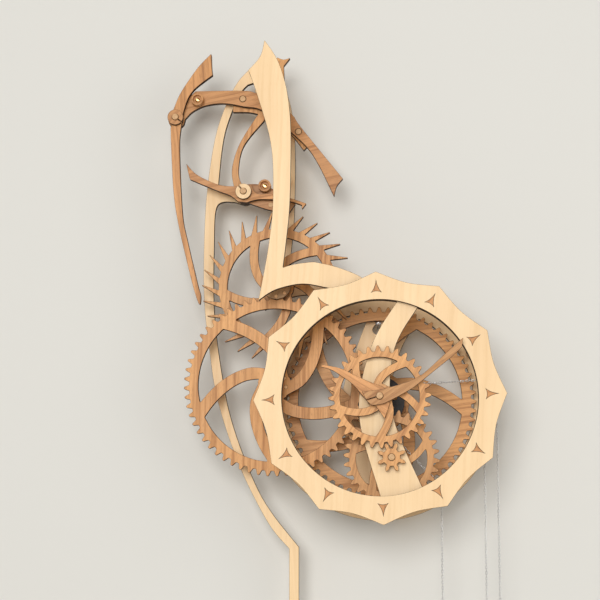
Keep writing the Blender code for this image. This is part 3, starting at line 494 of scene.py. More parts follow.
def cut_with(mesh, cutter):
    """The mesh with a cutter mesh taken out of it."""
    piece, tool = add_object(mesh.name, mesh), add_object("cutter", cutter)
    cut = piece.modifiers.new("cut", "BOOLEAN")
    cut.object = tool
    result = plain_mesh(mesh.name, piece)
    bpy.data.objects.remove(tool, do_unlink=True)
    return result


def cut_piece(node, grain=0.0, tone=1.0, corner=None, holes=(), suffix="wood", burnt=True):
    """A flat piece with fine outlines, in place of a node of the frame."""
    settings = bpy.context.scene.clock_cut
    loops, front, back = front_loops(node)
    radius = settings.corner if corner is None else corner
    loops = [softened(loop, radius) for loop in loops] + list(holes)
    name = "%s_%s" % (node, suffix)
    mesh = sheet_solid(name, loops, front, back, settings.chamfer)
    lay_grain(mesh, math.radians(grain), 0.013 * len(node), tone, burnt)
    place_mesh(name, mesh, node)


def turned_piece(node, upright=False, radius=None, suffix="wood", reach=None):
    """A turned piece with a fine rounded profile, in place of a node of the frame."""
    settings = bpy.context.scene.clock_cut
    points, middle, closed = turned_profile(node, upright)
    if reach is not None:
        points = [Vector((p.x, max(p.y, reach))) for p in points]
    profile = softened(points, settings.turned if radius is None else radius, closed)
    name = "%s_%s" % (node, suffix)
    place_mesh(name, spun(name, profile, middle, upright, closed, settings.sides), node)


def circle_loop(centre, radius, count=20):
    """A round hole, which runs the opposite way to an outer edge."""
    return [polar(radius, -2 * math.pi * i / count, centre) for i in range(count)]


def block_mesh(name, size, centre, turn=0.0):
    """A plain block, turned about the axis that stands out from the wall."""
    bm = bmesh.new()
    bmesh.ops.create_cube(bm, size=1.0)
    bmesh.ops.scale(bm, vec=size, verts=bm.verts)
    bmesh.ops.rotate(bm, matrix=Matrix.Rotation(turn, 3, "Y"), verts=bm.verts)
    bmesh.ops.translate(bm, vec=centre, verts=bm.verts)
    return mesh_from(name, bm)


# ---------------------------------------------------------------- node trees


def add_node(tree, kind, inputs=None, **settings):
    """A node with its settings, and its inputs set or linked by name or number."""
    made = tree.nodes.new(kind)
    for key, value in settings.items():
        setattr(made, key, value)
    for key, value in (inputs or {}).items():
        if isinstance(value, bpy.types.NodeSocket):
            tree.links.new(value, made.inputs[key])
        else:
            made.inputs[key].default_value = value
    return made


def new_tree(name, kind, inputs, outputs):
    """An empty node group. An input is (name, kind, its default if any); an output (name, kind)."""
    tree = bpy.data.node_groups.new(name, kind)
    for label, socket, *default in inputs:
        made = tree.interface.new_socket(label, in_out="INPUT", socket_type="NodeSocket" + socket)
        if default:
            made.default_value = default[0]
    for label, socket in outputs:
        tree.interface.new_socket(label, in_out="OUTPUT", socket_type="NodeSocket" + socket)
    return tree, tree.nodes.new("NodeGroupInput").outputs, tree.nodes.new("NodeGroupOutput").inputs


def maths(tree, operation, first, second=0.5, third=0.0):
    values = {0: first, 1: second, 2: third}
    return add_node(tree, "ShaderNodeMath", values, operation=operation).outputs[0]


def vector_maths(tree, operation, first, second):
    values = {0: first, 1: second}
    return add_node(tree, "ShaderNodeVectorMath", values, operation=operation).outputs[0]


def finish_tree(tree, copies, material, result):
    """Every tree ends in real geometry with its material set."""
    real = add_node(tree, "GeometryNodeRealizeInstances", {0: copies.outputs[0]})
    values = {"Geometry": real.outputs[0], "Material": material}
    painted = add_node(tree, "GeometryNodeSetMaterial", values)
    tree.links.new(painted.outputs[0], result[0])


def chain_tree(name):
    """Links laid along a path, every second one turned a quarter round."""
    inputs = [
        ("Path", "Geometry"),
        ("Pitch", "Float", 0.003),
        ("Wire Radius", "Float", 0.0003),
        ("Link Width", "Float", 0.0014),
        ("Link Length", "Float", 0.0033),
        ("Metal", "Material"),
    ]
    tree, given, result = new_tree(name, "GeometryNodeTree", inputs, [("Links", "Geometry")])
    values = {"Width": given["Link Width"], "Height": given["Link Length"]}
    ring = add_node(tree, "GeometryNodeCurvePrimitiveQuadrilateral", values)
    half = maths(tree, "MULTIPLY", given["Link Width"], 0.499)
    values = {"Curve": ring.outputs[0], "Radius": half, "Count": 3}
    stadium = add_node(tree, "GeometryNodeFilletCurve", values, mode="POLY")
    values = {"Resolution": 6, "Radius": given["Wire Radius"]}
    wire = add_node(tree, "GeometryNodeCurvePrimitiveCircle", values)
    values = {"Curve": stadium.outputs[0], "Profile Curve": wire.outputs[0]}
    link = add_node(tree, "GeometryNodeCurveToMesh", values)
    values = {"Geometry": link.outputs[0], "Rotation": (math.pi / 2, 0.0, 0.0)}
    upright = add_node(tree, "GeometryNodeTransform", values)
    line = add_node(tree, "GeometryNodeMeshToCurve", {"Mesh": given["Path"]})
    values = {"Curve": line.outputs[0], "Length": given["Pitch"]}
    dots = add_node(tree, "GeometryNodeResampleCurve", values, mode="LENGTH")
    tangent = add_node(tree, "GeometryNodeInputTangent").outputs[0]
    index = add_node(tree, "GeometryNodeInputIndex").outputs[0]
    odd = maths(tree, "FLOORED_MODULO", index, 2.0)
    outward = (0.0, 1.0, 0.0)
    across = vector_maths(tree, "CROSS_PRODUCT", tangent, outward)
    values = {"Factor": odd, 4: across, 5: outward}
    side = add_node(tree, "ShaderNodeMix", values, data_type="VECTOR").outputs[1]
    turn = add_node(
        tree,
        "FunctionNodeAxesToRotation",
        {"Primary Axis": tangent, "Secondary Axis": side},
        primary_axis="Z",
        secondary_axis="X",
    )
    values = {"Points": dots.outputs[0], "Instance": upright.outputs[0], "Rotation": turn.outputs[0]}
    copies = add_node(tree, "GeometryNodeInstanceOnPoints", values)
    finish_tree(tree, copies, given["Metal"], result)
    return tree


def around_tree(name, axis):
    """Copies of one piece, turned evenly round an axis through a centre."""
    inputs = [
        ("Piece", "Object"),
        ("Count", "Int", 8),
        ("Centre", "Vector"),
        ("First Turn", "Float", 0.0),
        ("Finish", "Material"),
    ]
    tree, given, result = new_tree(name, "GeometryNodeTree", inputs, [("Copies", "Geometry")])
    values = {"Count": given["Count"], "Start Location": given["Centre"], "Offset": (0.0, 0.0, 0.0)}
    spots = add_node(tree, "GeometryNodeMeshLine", values)
    index = add_node(tree, "GeometryNodeInputIndex").outputs[0]
    step = maths(tree, "DIVIDE", -2 * math.pi, given["Count"])
    turn = maths(tree, "MULTIPLY_ADD", index, step, given["First Turn"])
    angles = add_node(tree, "ShaderNodeCombineXYZ", {axis: turn})
    piece = add_node(tree, "GeometryNodeObjectInfo", {"Object": given["Piece"]}).outputs["Geometry"]
    values = {"Points": spots.outputs[0], "Instance": piece, "Rotation": angles.outputs[0]}
    copies = add_node(tree, "GeometryNodeInstanceOnPoints", values)
    finish_tree(tree, copies, given["Finish"], result)
    return tree


def points_tree(name):
    """Copies of one piece at the points of a mesh."""
    inputs = [
        ("Points", "Geometry"),
        ("Piece", "Object"),
        ("Size", "Float", 1.0),
        ("Finish", "Material"),
    ]
    tree, given, result = new_tree(name, "GeometryNodeTree", inputs, [("Copies", "Geometry")])
    piece = add_node(tree, "GeometryNodeObjectInfo", {"Object": given["Piece"]}).outputs["Geometry"]
    values = {"Points": given["Points"], "Instance": piece, "Scale": given["Size"]}
    copies = add_node(tree, "GeometryNodeInstanceOnPoints", values)
    finish_tree(tree, copies, given["Finish"], result)
    return tree


def shared_tree(name, maker, *options):
    return bpy.data.node_groups.get(name) or maker(name, *options)


def grown(name, tree, values, base=None):
    """A plain mesh object that a node tree makes, on top of an optional base mesh."""
    maker = add_object(name + "_maker", base or bpy.data.meshes.new(name))
    modifier = maker.modifiers.new("nodes", "NODES")
    modifier.node_group = tree
    sockets = {
        item.name: item.identifier
        for item in tree.interface.items_tree
        if item.item_type == "SOCKET" and item.in_out == "INPUT"
    }
    for key, value in values.items():
        modifier[sockets[key]] = value
    return add_object(name, plain_mesh(name, maker))


def copied(name, tree, mesh, values, base=None):
    """What a node tree makes from copies of a mesh."""
    template = add_object(mesh.name, mesh)
    piece = grown(name, tree, {"Piece": template, **values}, base)
    bpy.data.objects.remove(template, do_unlink=True)
    return piece


def copied_around(name, mesh, axis, values):
    """Copies of a mesh, spread evenly round an axis, Y or Z, through a centre."""
    return copied(name, shared_tree("Copies Around " + axis, around_tree, axis), mesh, values)


# ---------------------------------------------------------------- materials


def spread(tree, value, low, high, to_low=0.0, to_high=1.0):
    """A value stretched from one range to another, and kept inside it."""
    ranged = {"Value": value, "From Min": low, "From Max": high}
    ranged.update({"To Min": to_low, "To Max": to_high})
    return add_node(tree, "ShaderNodeMapRange", ranged).outputs[0]


def blended(tree, factor, first, second):
    values = {0: factor, 6: first, 7: second}
    return add_node(tree, "ShaderNodeMix", values, data_type="RGBA").outputs[2]


def noise(tree, vector, scale, detail=2.0, roughness=0.5):
    values = {"Vector": vector, "Scale": scale, "Detail": detail, "Roughness": roughness}
    return add_node(tree, "ShaderNodeTexNoise", values).outputs["Fac"]


def use_group(tree, name, inputs):
    group = bpy.data.node_groups[name]
    return add_node(tree, "ShaderNodeGroup", inputs, node_tree=group).outputs


def grain_group():
    """Wood grain in a map whose u runs across the grain and v along it, in metres."""
    inputs = [
        ("Map", "Vector"),
        ("Line Spacing", "Float", 0.004),
        ("Waviness", "Float", 0.002),
        ("Seed", "Float", 0.0),
    ]
    outputs = [("Lines", "Float"), ("Flame", "Float"), ("Pores", "Float"), ("Height", "Float")]
    tree, given, result = new_tree("Wood Grain", "ShaderNodeTree", inputs, outputs)
    place = add_node(tree, "ShaderNodeSeparateXYZ", {0: given["Map"]})
    sway = noise(tree, given["Map"], 14.0, 1.0)
    sway = maths(tree, "MULTIPLY", maths(tree, "SUBTRACT", sway), given["Waviness"])
    across = maths(tree, "ADD", place.outputs["X"], sway)
    across = maths(tree, "DIVIDE", across, given["Line Spacing"])
    along = maths(tree, "DIVIDE", place.outputs["Y"], given["Line Spacing"])

    def streaks(fine, long, detail):
        """Noise drawn out along the grain; fine and long are shares of the spacing."""
        parts = {
            "X": maths(tree, "MULTIPLY", across, fine),
            "Y": maths(tree, "MULTIPLY", along, long),
            "Z": given["Seed"],
        }
        vector = add_node(tree, "ShaderNodeCombineXYZ", parts).outputs[0]
        return noise(tree, vector, 1.0, detail, 0.55)

    lines = spread(tree, streaks(1.35, 0.02, 2.5), 0.46, 0.64)
    fibres = spread(tree, streaks(5.0, 0.16, 2.0), 0.3, 0.7)
    flame = spread(tree, streaks(0.16, 0.03, 2.0), 0.32, 0.68)
    pores = spread(tree, streaks(8.5, 0.7, 1.0), 0.60, 0.74)
    both = maths(tree, "MULTIPLY_ADD", fibres, 0.35, maths(tree, "MULTIPLY", lines, 0.65))
    deep = maths(tree, "SUBTRACT", maths(tree, "MULTIPLY", fibres, 0.4), pores)
    for label, value in (("Lines", both), ("Flame", flame), ("Pores", pores), ("Height", deep)):
        tree.links.new(value, result[label])


def burn_group():
    """Where a laser-cut edge is burnt, from the cut mask, with lighter and darker stripes."""
    inputs = [("Cut", "Float", 0.0), ("Place", "Vector"), ("Least", "Float", 0.7)]
    outputs = [("Burn", "Float"), ("Height", "Float")]
    tree, given, result = new_tree("Burnt Edge", "ShaderNodeTree", inputs, outputs)
    stripes = vector_maths(tree, "MULTIPLY", given["Place"], (1.0, 0.12, 1.0))
    stripes = noise(tree, stripes, 700.0)
    share = maths(tree, "ADD", stripes, noise(tree, given["Place"], 45.0))
    share = spread(tree, share, 0.75, 1.25, given["Least"])
    tree.links.new(maths(tree, "MULTIPLY", share, given["Cut"]), result["Burn"])
    tree.links.new(maths(tree, "MULTIPLY", stripes, given["Cut"]), result["Height"])


def wear_group():
    """Soft patches and fine dust over any surface."""
    inputs = [("Place", "Vector"), ("Patch Size", "Float", 0.02)]
    outputs = [("Patches", "Float"), ("Dust", "Float")]
    tree, given, result = new_tree("Soft Patches", "ShaderNodeTree", inputs, outputs)
    scale = maths(tree, "DIVIDE", 1.0, given["Patch Size"])
    broad = noise(tree, given["Place"], scale, 3.0)
    fine = noise(tree, given["Place"], maths(tree, "MULTIPLY", scale, 22.0))
    tree.links.new(spread(tree, broad, 0.35, 0.65), result["Patches"])
    tree.links.new(spread(tree, fine, 0.55, 0.75), result["Dust"])


def new_material(slot):
    material = bpy.data.materials.new(slot + FINISH)
    material.use_nodes = True
    tree = material.node_tree
    return tree, tree.nodes["Principled BSDF"]


def soft_patches(tree, size):
    """Where a point is on its piece, and the soft patches and dust there."""
    place = add_node(tree, "ShaderNodeTexCoord").outputs["Object"]
    return place, use_group(tree, "Soft Patches", {"Place": place, "Patch Size": size})


def mask(tree, name):
    return add_node(tree, "ShaderNodeAttribute", attribute_name=name).outputs["Fac"]


def set_bump(tree, shader, height, strength, distance):
    values = {"Height": height, "Strength": strength, "Distance": distance}
    tree.links.new(add_node(tree, "ShaderNodeBump", values).outputs[0], shader.inputs["Normal"])


def wood_material(name, light, dark, contrast, flame, waviness, seed, burn):
    """Oiled wood with lines, fibres and pores, and burnt cut edges."""
    settings = bpy.context.scene.clock_wood
    tree, shader = new_material(name)
    place, soft = soft_patches(tree, 0.05)
    values = {
        "Map": add_node(tree, "ShaderNodeUVMap", uv_map="grain").outputs[0],
        "Line Spacing": settings.line_spacing,
        "Waviness": waviness,
        "Seed": seed,
    }
    grain = use_group(tree, "Wood Grain", values)
    light, dark = (*light, 1.0), (*dark, 1.0)
    colour = blended(tree, maths(tree, "MULTIPLY", grain["Lines"], contrast), light, dark)
    colour = blended(tree, maths(tree, "MULTIPLY", grain["Flame"], flame), colour, dark)
    colour = blended(tree, maths(tree, "MULTIPLY", grain["Pores"], contrast * 0.8), colour, dark)
    colour = blended(tree, maths(tree, "MULTIPLY", soft["Patches"], flame * 0.5), colour, light)
    values = {0: colour, "Scale": mask(tree, "tone")}
    shade = add_node(tree, "ShaderNodeVectorMath", values, operation="SCALE").outputs[0]
    cut = mask(tree, "cut")
    edge = use_group(tree, "Burnt Edge", {"Cut": cut, "Place": place, "Least": burn})
    colour = blended(tree, edge["Burn"], shade, (*settings.burn, 1.0))
    tree.links.new(colour, shader.inputs["Base Color"])
    rough = maths(tree, "ADD", maths(tree, "MULTIPLY", grain["Lines"], 0.16), 0.42)
    rough = maths(tree, "ADD", rough, maths(tree, "MULTIPLY", cut, 0.25))
    tree.links.new(rough, shader.inputs["Roughness"])
    shader.inputs["Specular IOR Level"].default_value = 0.35
    set_bump(tree, shader, maths(tree, "ADD", grain["Height"], edge["Height"]), 0.25, 0.00012)


def metal_material(name, colour, tarnish, rough):
    """Turned metal: fine marks along a map, and soft tarnish."""
    tree, shader = new_material(name)
    soft = soft_patches(tree, 0.03)[1]
    stain = maths(tree, "MULTIPLY", soft["Patches"], 0.55)
    tree.links.new(blended(tree, stain, (*colour, 1.0), (*tarnish, 1.0)), shader.inputs["Base Color"])
    shader.inputs["Metallic"].default_value = 1.0
    turned_map = add_node(tree, "ShaderNodeUVMap", uv_map="grain").outputs[0]
    rings = vector_maths(tree, "MULTIPLY", turned_map, (0.02, 1.0, 1.0))
    rings = noise(tree, rings, TURNING_MARKS, 3.0)
    marked = spread(tree, rings, 0.2, 0.8, rough - 0.05, rough + 0.1)
    dusty = maths(tree, "MULTIPLY_ADD", soft["Dust"], 0.14, marked)
    tree.links.new(dusty, shader.inputs["Roughness"])
    set_bump(tree, shader, rings, 0.12, 0.00008)


def black_material():
    """Satin near-black on turned wood, with a little dust."""
    tree, shader = new_material("black")
    soft = soft_patches(tree, 0.012)[1]
    dusty = maths(tree, "MULTIPLY", soft["Dust"], 0.35)
    # a near-black base colour, and a lighter dust colour
    near_black, dust = (0.018, 0.017, 0.016, 1.0), (0.09, 0.085, 0.08, 1.0)
    tree.links.new(blended(tree, dusty, near_black, dust), shader.inputs["Base Color"])
    tree.links.new(spread(tree, soft["Patches"], 0.0, 1.0, 0.38, 0.55), shader.inputs["Roughness"])
    set_bump(tree, shader, soft["Patches"], 0.1, 0.0001)


# ---------------------------------------------------------------- operators


class PieceOperator(bpy.types.Operator):
    """Shared by every operator that makes pieces of the clock."""

    bl_options = {"REGISTER", "UNDO"}


class CLOCK_OT_materials(PieceOperator):
    """Make the woods, metals and paint."""

    bl_idname = "clock.materials"
    bl_label = "Woods and Metals"

    def execute(self, context):
        grain_group()
        burn_group()
        wear_group()
        wood = context.scene.clock_wood
        for name, look in WOODS.items():
            wood_material(name, getattr(wood, name), getattr(wood, name + "_dark"), **look)
        for name, look in METALS.items():
            metal_material(name, **look)
        black_material()
        return {"FINISHED"}


class CLOCK_OT_frames(PieceOperator):
    """Cut the two frames and turn the pillars and blocks between them and the wall."""

    bl_idname = "clock.frames"
    bl_label = "Frames"

    def execute(self, context):
        cut_piece("front_frame", grain=2)
        cut_piece("back_frame", grain=-3, tone=0.97)
        cut_piece("wall_block_upper", grain=0, burnt=False)
        cut_piece("wall_block_lower", grain=90, burnt=False)
        for i in range(1, 5):
            turned_piece("frame_pillar_%d" % i)
        return {"FINISHED"}


def concave_triangle(width, height, waist, grow, steps=5):
    """A mark's outline from the middle of its base, its long point up; its sides draw in."""
    tips = [Vector((width / 2 + grow, -grow)), Vector((0.0, height + 2 * grow))]
    tips.append(Vector((-width / 2 - grow, -grow)))
    middle = (tips[0] + tips[1] + tips[2]) / 3
    outline = []
    for a, b in zip(tips, tips[1:] + tips[:1]):
        pull = (a + b) / 2 + (middle - (a + b) / 2) * waist
        for k in range(steps):
            t = k / steps
            outline.append(a.lerp(pull, t).lerp(pull.lerp(b, t), t))
    return outline


class CLOCK_OT_dial(PieceOperator):
    """Cut the dial with its pockets, and let in the hour marks."""

    bl_idname = "clock.dial"
    bl_label = "Dial and Hour Marks"

    def execute(self, context):
        marks = context.scene.clock_inlay
        settings = context.scene.clock_cut
        loops, front, back = front_loops("dial_ring")
        edge = max(loops, key=lambda loop: max(p.length for p in loop))
        tip = max(edge, key=lambda p: p.length)
        first = math.atan2(tip.y, tip.x)
        shape = concave_triangle(marks.wide, marks.tall, marks.waist, 0.0)
        pocket = concave_triangle(marks.wide, marks.tall, marks.waist, marks.gap)
        pockets = []
        for i in range(marks.count):
            out = polar(1.0, first + 2 * math.pi * i / marks.count)
            side = Vector((-out.y, out.x))
            hole = [out * (marks.reach + p.y) - side * p.x for p in pocket]
            pockets.append(ordered(hole, False))
        cut_piece("dial_ring", grain=4, holes=pockets)
        mark = ordered([Vector((p.x, marks.reach + p.y)) for p in shape], True)
        depth = front + marks.recess
        mesh = sheet_solid("hour_mark", [mark], depth, back, settings.chamfer / 2)
        lay_grain(mesh, angle=0.0, shift=0.31, tone=1.25)
        turn = math.pi / 2 - first
        values = {"Count": marks.count, "First Turn": turn, "Finish": finish("walnut")}
        inlays = copied_around("hour_marks", mesh, "Y", values)
        settle(inlays, "dial_ring", stands_for=False)
        return {"FINISHED"}


def ordered(loop, outer):
    """The loop, run anticlockwise for an outer edge and clockwise for a hole."""
    return loop if (signed_area(loop) > 0) == outer else loop[::-1]


def pin_circle(node, disc):
    """A lantern pinion's centre, one pin's angle, the pins' circle and their radius."""
    centre = axis_of(node)
    bm = welded(node)
    near = 0.1 * MM
    far = [v.co for v in bm.verts if not disc[0] - near < v.co.y < disc[1] + near]
    places = [co.xz - centre for co in far]
    bm.free()
    lengths = [p.length for p in places]
    circle = (max(lengths) + min(lengths)) / 2
    radius = (max(lengths) - min(lengths)) / 2
    angles = [PIN_COUNT * math.atan2(p.y, p.x) for p in places]
    first = math.atan2(sum(map(math.sin, angles)), sum(map(math.cos, angles))) / PIN_COUNT
    return centre, first, circle, radius


def lantern(node, wheel, front_disc):
    """A lantern pinion's disc and pins. The pins' ends show on the disc or on the wheel."""
    settings = bpy.context.scene.clock_cut
    low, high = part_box(node)
    disc = (low.y, low.y + LANTERN_DISC) if front_disc else (high.y - LANTERN_DISC, high.y)
    centre, first, circle, radius = pin_circle(node, disc)
    gap, proud, soft = 0.05 * MM, 0.35 * MM, 0.3 * MM
    hole = circle_loop(centre, radius + gap)
    turns = [first + 2 * math.pi * i / PIN_COUNT for i in range(PIN_COUNT)]
    pin_holes = [[p - centre + polar(circle, turn, centre) for p in hole] for turn in turns]
    rim = circle_loop(centre, (high.x - low.x) / 2, 64)[::-1]
    outlines = [rim, circle_loop(centre, ARBOR_HOLE_R, 32)]
    name = node + "_disc"
    mesh = sheet_solid(name, outlines + pin_holes, *disc, settings.chamfer)
    lay_grain(mesh, angle=math.radians(25), shift=0.4, tone=0.78)
    place_mesh(name, mesh, node)
    wheel_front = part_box(wheel)[0].y
    front = (low.y if front_disc else wheel_front) - proud
    back = wheel_front - 2 * gap if front_disc else high.y
    profile = [(0.0, front), (radius - soft, front), (radius, front + soft)]
    profile += [(radius, back - soft), (radius - soft, back), (0.0, back)]
    place = Vector((circle, 0.0, 0.0))
    mesh = spun("pin", [Vector(p) for p in profile], place, sides=16, tone=1.45)
    values = {"Count": PIN_COUNT, "Centre": (centre.x, 0.0, centre.y), "First Turn": -first}
    values["Finish"] = finish("oak_peg")
    settle(copied_around(node + "_pins", mesh, "Y", values), node)
    return pin_holes


class CLOCK_OT_wheels(PieceOperator):
    """Cut the wheels and pinions, and set the lantern pins."""

    bl_idname = "clock.wheels"
    bl_label = "Wheels and Pinions"

    def execute(self, context):
        tooth = context.scene.clock_cut.tooth
        third_holes = lantern("third_pinion", "third_wheel", False)
        lantern("escape_pinion", "escape_wheel", True)
        cut_piece("great_wheel", grain=82, corner=tooth)
        cut_piece("third_wheel", grain=1, corner=tooth, tone=1.08, holes=third_holes)
        cut_piece("escape_wheel", grain=4, corner=tooth * 0.5)
        cut_piece("minute_wheel", grain=12, corner=tooth * 0.7)
        cut_piece("hour_wheel", grain=28, corner=tooth * 0.7, tone=1.12)
        cut_piece("cannon_pinion", corner=tooth * 0.7)
        cut_piece("minute_pinion", grain=15, corner=tooth * 0.7, tone=1.05)
        cut_piece("click", grain=60)
        cut_piece("ratchet_wheel", suffix="black")
        return {"FINISHED"}


def lower_peg():
    """The round end of a peg in the lower arm, beside the exit pallet's pivot."""
    radius, edge, proud, sunk = 2.6 * MM, 0.4 * MM, 0.8 * MM, 0.1 * MM
    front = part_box("lower_arm")[0].y
    from_pivot = Vector((27.8, -12.5)) * MM
    spot = axis_of("exit_pivot") + from_pivot
    outline = [(0.0, -proud), (radius, -proud), (radius, sunk), (0.0, sunk)]
    profile = softened([Vector(p) for p in outline], edge, False)
    profile = [Vector((p.x, p.y + front)) for p in profile]
    mesh = spun("lower_peg", profile, Vector((spot.x, front, spot.y)))
    place_mesh("lower_peg", mesh, "lower_arm", stands_for=False, slot="oak_peg")


class CLOCK_OT_arbors(PieceOperator):
    """Turn the arbors, pipe, pegs and pivots."""

    bl_idname = "clock.arbors"
    bl_label = "Arbors and Pegs"

    def execute(self, context):
        gap = 0.3 * MM
        plate_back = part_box("front_frame")[1].y + gap
        for node in ("third_arbor", "escape_arbor", "pendulum_arbor"):
            turned_piece(node, reach=plate_back)
        names = ("centre_arbor", "minute_arbor", "hour_pipe", "anchor_peg_1", "anchor_peg_2")
        for node in names + ("entry_pivot", "exit_pivot"):
            turned_piece(node)
        lower_peg()
        return {"FINISHED"}


class CLOCK_OT_hands(PieceOperator):
    """Cut the two hands."""

    bl_idname = "clock.hands"
    bl_label = "Hands"

    def execute(self, context):
        cut_piece("hour_hand", grain=-58, tone=1.35)
        cut_piece("minute_hand", grain=55, tone=0.82)
        return {"FINISHED"}


class CLOCK_OT_escapement(PieceOperator):
    """Cut the pendulum's plates, arms, pallets and collars, and turn the cups."""

    bl_idname = "clock.escapement"
    bl_label = "Escapement"

    def execute(self, context):
        cut_piece("pendulum_plate", grain=-2)
        cut_piece("anchor_frame", grain=5, tone=1.08)
        cut_piece("arc_arm", grain=78, tone=1.05)
        cut_piece("lower_arm", grain=80)
        cut_piece("entry_pallet", grain=-5, tone=1.12)
        cut_piece("exit_pallet", grain=78, tone=1.12)
        cut_piece("entry_collar", grain=40, tone=0.95)
        cut_piece("exit_collar", grain=30)
        for node in ("entry_cup", "exit_cup"):
            turned_piece(node)
        return {"FINISHED"}


def screw_head(radius, height, slot_width):
    """A pan head with a slot, at the origin, facing the front."""
    profile = [(0.0, -height), (radius * 0.62, -height * 0.86), (radius, -height * 0.3)]
    profile += [(radius, 0.0), (0.0, 0.0)]
    points = softened([Vector(p) for p in profile], radius * 0.4, False)
    size, turn = (radius * 3, height, slot_width), math.radians(35)
    slot = block_mesh("slot", size, (0.0, -height * 1.05, 0.0), turn)
    return cut_with(spun("screw", points, Vector((0.0, 0.0, 0.0))), slot)


class CLOCK_OT_fastenings(PieceOperator):
    """Set the screws: two brass ones in the cups, and the one that the clock hangs on."""

    bl_idname = "clock.fastenings"
    bl_label = "Screws"

    def execute(self, context):
        sunk = Vector((0.0, -0.02 * MM, 0.0))
        spots = bpy.data.meshes.new("cup_screws")
        spots.from_pydata([middle_of(node) + sunk for node in ("entry_cup", "exit_cup")], [], [])
        tree = shared_tree("Copies At Points", points_tree)
        head = screw_head(2.5 * MM, 1.5 * MM, 0.7 * MM)
        screws = copied("cup_screws", tree, head, {"Finish": finish("brass")}, base=spots)
        settle(screws, "entry_cup", stands_for=False)
        turned_piece("hanger_screw", radius=0.5 * MM, suffix="steel")
        return {"FINISHED"}


def bob():
    """The turned bob with the rod's hole through it."""
    edge, bore_radius, past = 9.0 * MM, 2.8 * MM, 10.0 * MM
    low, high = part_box("bob")
    points, middle, _ = turned_profile("bob", False)
    mesh = spun("bob_brass", softened(points, edge, False), middle, sides=96)
    bottom, top = low.z - past, high.z + past
    hole = [(0.0, bottom), (bore_radius, bottom), (bore_radius, top), (0.0, top)]
    tool = spun("bore", [Vector(p) for p in hole], middle, upright=True)
    place_mesh("bob_brass", cut_with(mesh, tool), "bob")


def rating_rod():
    """The rod, with a ferrule that is slotted for the pendulum's strip."""
    sides = bpy.context.scene.clock_cut.sides
    low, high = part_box("rating_rod")
    edge, wide, deep, gap = 1.0 * MM, 10.4 * MM, 30.0 * MM, 0.3 * MM
    rim, foot = (high.x - low.x) / 2, high.z - deep
    points, middle, _ = turned_profile("rating_rod", True)
    outer = [p for p in points if p.x > 0.6 * rim or p.y < foot]
    outer = [p for p in outer if p.x > 0.9 * rim or p.y < high.z - HAIR]
    outer = sorted(outer, key=lambda p: (round(p.y, 5), p.x)) + [Vector((0.0, high.z))]
    profile = softened(outer, edge, False)
    mesh = spun("rating_rod_brass", profile, middle, upright=True, sides=sides)
    strip_low, strip_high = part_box("pendulum_plate")
    size = (wide, strip_high.y - strip_low.y + 2 * gap, deep)
    centre = (middle.x, (strip_low.y + strip_high.y) / 2, strip_low.z + deep / 2 - gap)
    mesh = cut_with(mesh, block_mesh("ferrule_slot", size, centre))
    place_mesh("rating_rod_brass", mesh, "rating_rod")


def rating_nut():
    """The nut under the bob, with a knurled edge."""
    turned_piece("rating_nut", upright=True, suffix="brass")
    low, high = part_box("rating_nut")
    count, radius, tall, sunk = 44, 0.42 * MM, 4.4 * MM, 0.32 * MM
    bm = bmesh.new()
    bmesh.ops.create_cone(
        bm, cap_ends=True, segments=6, radius1=radius, radius2=radius, depth=tall
    )
    bmesh.ops.translate(bm, vec=((high.x - low.x) / 2 - sunk, 0.0, 0.0), verts=bm.verts)
    values = {"Count": count, "Centre": tuple((low + high) / 2), "Finish": finish("brass")}
    ribs = copied_around("rating_nut_knurl", mesh_from("rib", bm), "Z", values)
    settle(ribs, "rating_nut", stands_for=False)


class CLOCK_OT_bob(PieceOperator):
    """Turn the bob, its rod with the ferrule, and the knurled nut."""

    bl_idname = "clock.bob"
    bl_label = "Pendulum Bob"

    def execute(self, context):
        bob()
        rating_rod()
        rating_nut()
        return {"FINISHED"}


def links_along(name, points):
    """A run of chain links along (x, y, z) points."""
    chain = bpy.context.scene.clock_chain
    values = {
        "Pitch": chain.pitch,
        "Wire Radius": chain.wire,
        "Link Width": chain.width,
        "Link Length": chain.length,
        "Metal": finish("steel"),
    }
    path = bpy.data.meshes.new(name)
    path.from_pydata(points, [(i, i + 1) for i in range(len(points) - 1)], [])
    links = grown(name, shared_tree("Chain Along Path", chain_tree), values, base=path)
    links.data.shade_smooth()
    return links


def bend_round(centre, radius, start, end, depth, steps=14):
    """Points of an arc in the chain's plane, angles in radians."""
    turns = [start + (end - start) * k / steps for k in range(steps + 1)]
    return [(place.x, depth, place.y) for place in (polar(radius, t, centre) for t in turns)]


